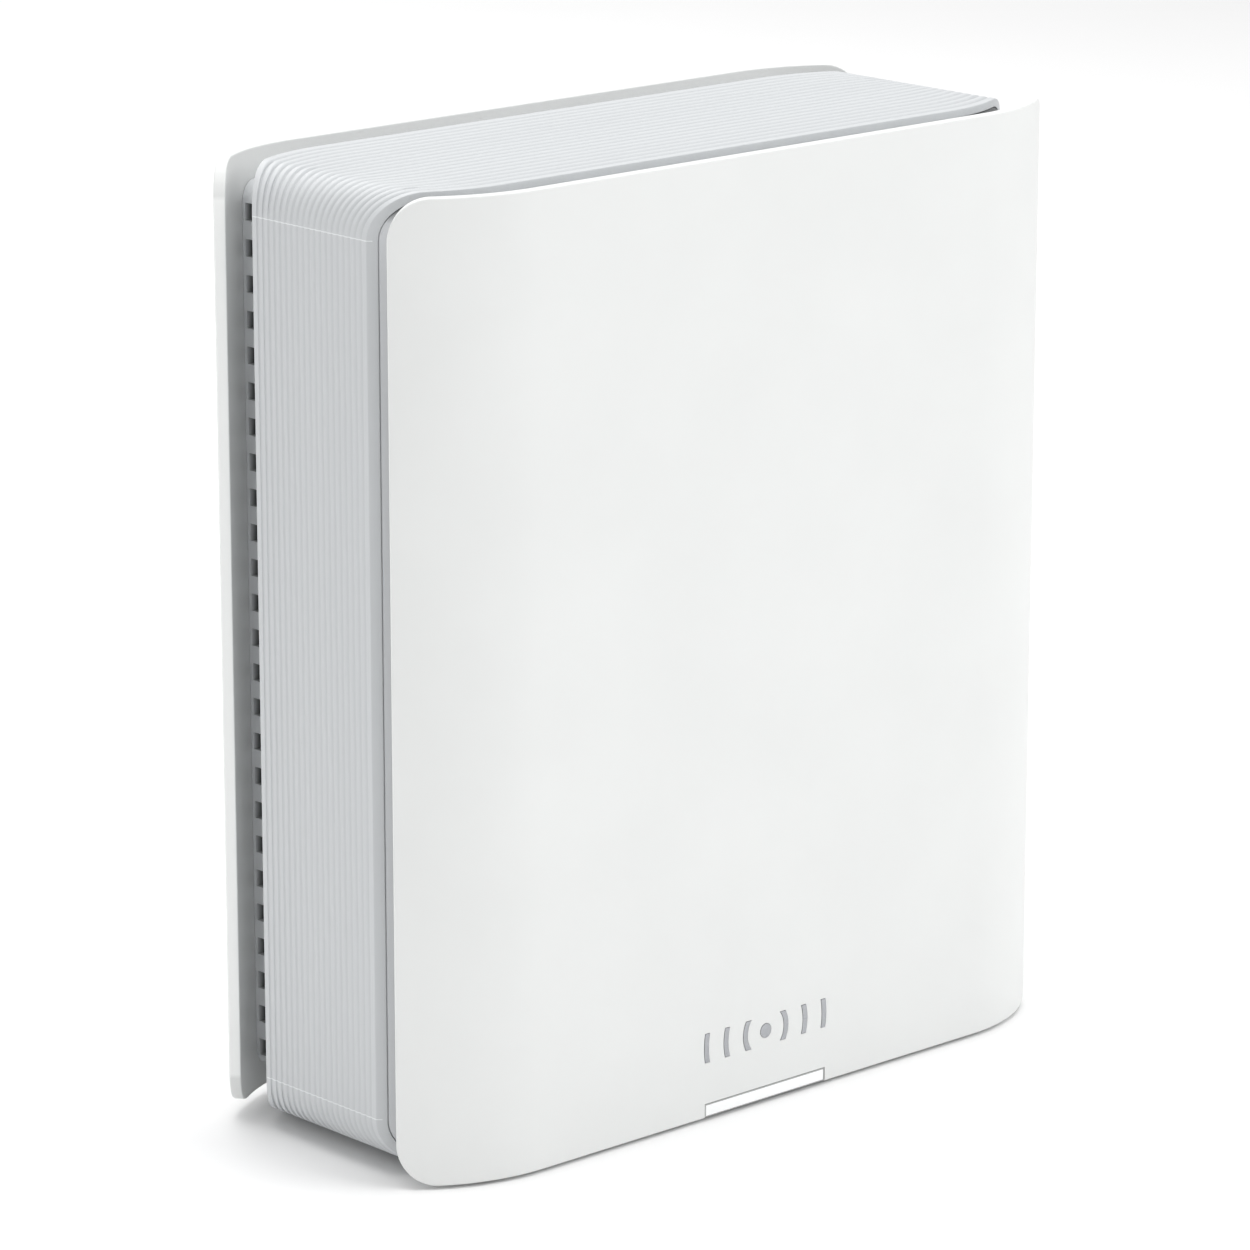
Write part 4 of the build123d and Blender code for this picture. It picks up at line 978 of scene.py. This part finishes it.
@dataclass
class Emblem:
    """Metal emblem above the light bar: a dot between rows of arcs, each let into its own pocket."""

    wardrobe: Wardrobe
    cover: bpy.types.Object
    middle: float = 21.0 * MM
    dot: float = 2.0 * MM
    radii: tuple[float, ...] = (7.7 * MM, 15.0 * MM, 22.3 * MM)
    stroke: float = 1.6 * MM
    height: float = 8.2 * MM
    edge: float = 0.16 * MM
    gap: float = 0.14 * MM
    pocket: float = 0.6 * MM
    reach: float = 1.0 * MM
    disc_sides: int = 96

    def disc(self, radius: float, front: float, back: float) -> bpy.types.Object:
        """Upright disc round the emblem's middle.

        Args:
            radius: its radius.
            front: depth of its front face.
            back: depth of its back face.

        Returns:
            The disc.
        """
        Bench.clear()
        bpy.ops.mesh.primitive_cylinder_add(vertices=self.disc_sides, radius=radius, depth=back - front,
                                            location=(0, (front + back) / 2, self.middle),
                                            rotation=(math.pi / 2, 0, 0))
        return Bench.settle("disc")

    def shapes(self, grow: float, front: float, back: float) -> list[bpy.types.Object]:
        """The dot and the arcs.

        Args:
            grow: how much larger than the emblem every outline is.
            front: depth of the front face.
            back: depth of the back face.

        Returns:
            One object for the dot and one for each pair of arcs.
        """
        parts = [self.disc(self.dot + grow, front, back)]
        half_height = self.height / 2 + grow
        for radius in self.radii:
            outer = radius + self.stroke / 2 + grow
            ring = self.disc(outer, front, back)
            Bench.cut(ring, self.disc(outer - self.stroke - 2 * grow, front - self.reach, back + self.reach))
            for level in (-1, 1):
                span = 2 * outer
                edge = self.middle + level * half_height
                far = edge + level * span
                trim = Bench.block("trim", (-span, front - self.reach, min(edge, far)),
                                   (span, back + self.reach, max(edge, far)))
                Bench.cut(ring, trim)
            parts.append(ring)
        return parts

    def build(self) -> bpy.types.Object:
        """Cut the pockets, build the emblem and hand it over dressed.

        Returns:
            The finished emblem.
        """
        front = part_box("signal_badge")[0][1]
        for tool in self.shapes(self.gap, front - self.reach, front + self.pocket):
            Bench.cut(self.cover, tool)
        Bench.smooth(self.cover)
        Bench.even_shading(self.cover)
        emblem = Bench.join(self.shapes(0.0, front, front + self.pocket), "emblem")
        Bench.round_edges(emblem, self.edge)
        Bench.smooth(emblem)
        self.wardrobe.dress(emblem, "badge_silver")
        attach(emblem, "housing")
        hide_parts("signal_badge")
        return emblem


# Stage ----------------------------------------------------------------------------------------


@dataclass
class Studio:
    """Pale floor, soft lamps and the camera."""

    azimuth: float = math.radians(-42.49)
    elevation: float = math.radians(14.85)
    distance: float = 1.58932
    target: tuple[float, float, float] = (-0.00282, 0.0029, 0.12585)
    lens: float = 166.07
    floor_size: float = 12.0

    def camera(self) -> None:
        """Create the camera at its viewing angle."""
        back = Vector((math.sin(self.azimuth) * math.cos(self.elevation),
                       -math.cos(self.azimuth) * math.cos(self.elevation), math.sin(self.elevation)))
        data = bpy.data.cameras.new("camera")
        data.lens = self.lens
        data.sensor_width = 36.0
        data.clip_start = 0.05
        data.clip_end = 50.0
        camera = bpy.data.objects.new("camera", data)
        bpy.context.scene.collection.objects.link(camera)
        camera.location = Vector(self.target) + back * self.distance
        camera.rotation_mode = "QUATERNION"
        camera.rotation_quaternion = (-back).to_track_quat("-Z", "Y")
        bpy.context.scene.camera = camera

    def lamp(self, name: str, place: Sequence[float], size: float, power: float) -> None:
        """Add one soft square lamp that looks at the router.

        Args:
            name: name of the lamp.
            place: where it hangs.
            size: length of its side.
            power: its power in watts.
        """
        data = bpy.data.lights.new(name, "AREA")
        data.shape = "SQUARE"
        data.size = size
        data.energy = power
        lamp = bpy.data.objects.new(name, data)
        bpy.context.scene.collection.objects.link(lamp)
        lamp.location = place
        towards = Vector((0, 0, 0.12)) - Vector(place)
        lamp.rotation_mode = "QUATERNION"
        lamp.rotation_quaternion = towards.to_track_quat("-Z", "Y")

    def floor(self) -> None:
        """Add the floor."""
        Bench.clear()
        bpy.ops.mesh.primitive_plane_add(size=self.floor_size, location=(0, 0, 0))
        floor = Bench.settle("floor")
        recipe = Recipe("floor")
        cloud = recipe.noise(3.0, 2.0)
        tone = recipe.blend(cloud, (0.93, 0.93, 0.93), (0.95, 0.95, 0.95))
        floor.data.materials.append(recipe.surface(Base_Color=tone, Roughness=0.7 + 0.1 * cloud))

    def world(self) -> None:
        """Surround the stage with even pale light."""
        world = bpy.data.worlds.new("studio")
        world.use_nodes = True
        shade = world.node_tree.nodes["Background"]
        shade.inputs["Color"].default_value = (1.0, 1.0, 1.0, 1.0)
        shade.inputs["Strength"].default_value = 0.6
        bpy.context.scene.world = world
        bpy.context.scene.view_settings.view_transform = "Standard"

    def build(self) -> None:
        """Set the stage."""
        self.camera()
        self.floor()
        self.world()
        self.lamp("key", (0.9, -1.6, 1.5), 1.4, 18.0)
        self.lamp("fill", (-2.0, 0.5, 0.5), 1.2, 4.5)
        self.lamp("top", (0.0, 0.2, 2.2), 1.8, 29.0)
        self.lamp("back", (0.5, 2.0, 1.3), 1.4, 10.0)


def main() -> None:
    """Build the stage and every sub-assembly, and report each piece."""
    logging.basicConfig(level=logging.INFO)
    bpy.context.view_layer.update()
    Studio().build()
    wardrobe = Wardrobe(FINISHES)
    wardrobe.dress_nodes()
    front = FrontCover(wardrobe, Facing.FRONT, "front_panel").build()
    pieces = [
        front,
        RearCover(wardrobe, Facing.REAR, "rear_panel").build(),
        RibbedBand(wardrobe).build(),
        LightBar(wardrobe).build(),
        Emblem(wardrobe, front).build(),
    ]
    for piece in pieces:
        LOG.info("%s: %d faces", piece.name, len(piece.data.polygons))


if __name__ == "__main__":
    main()
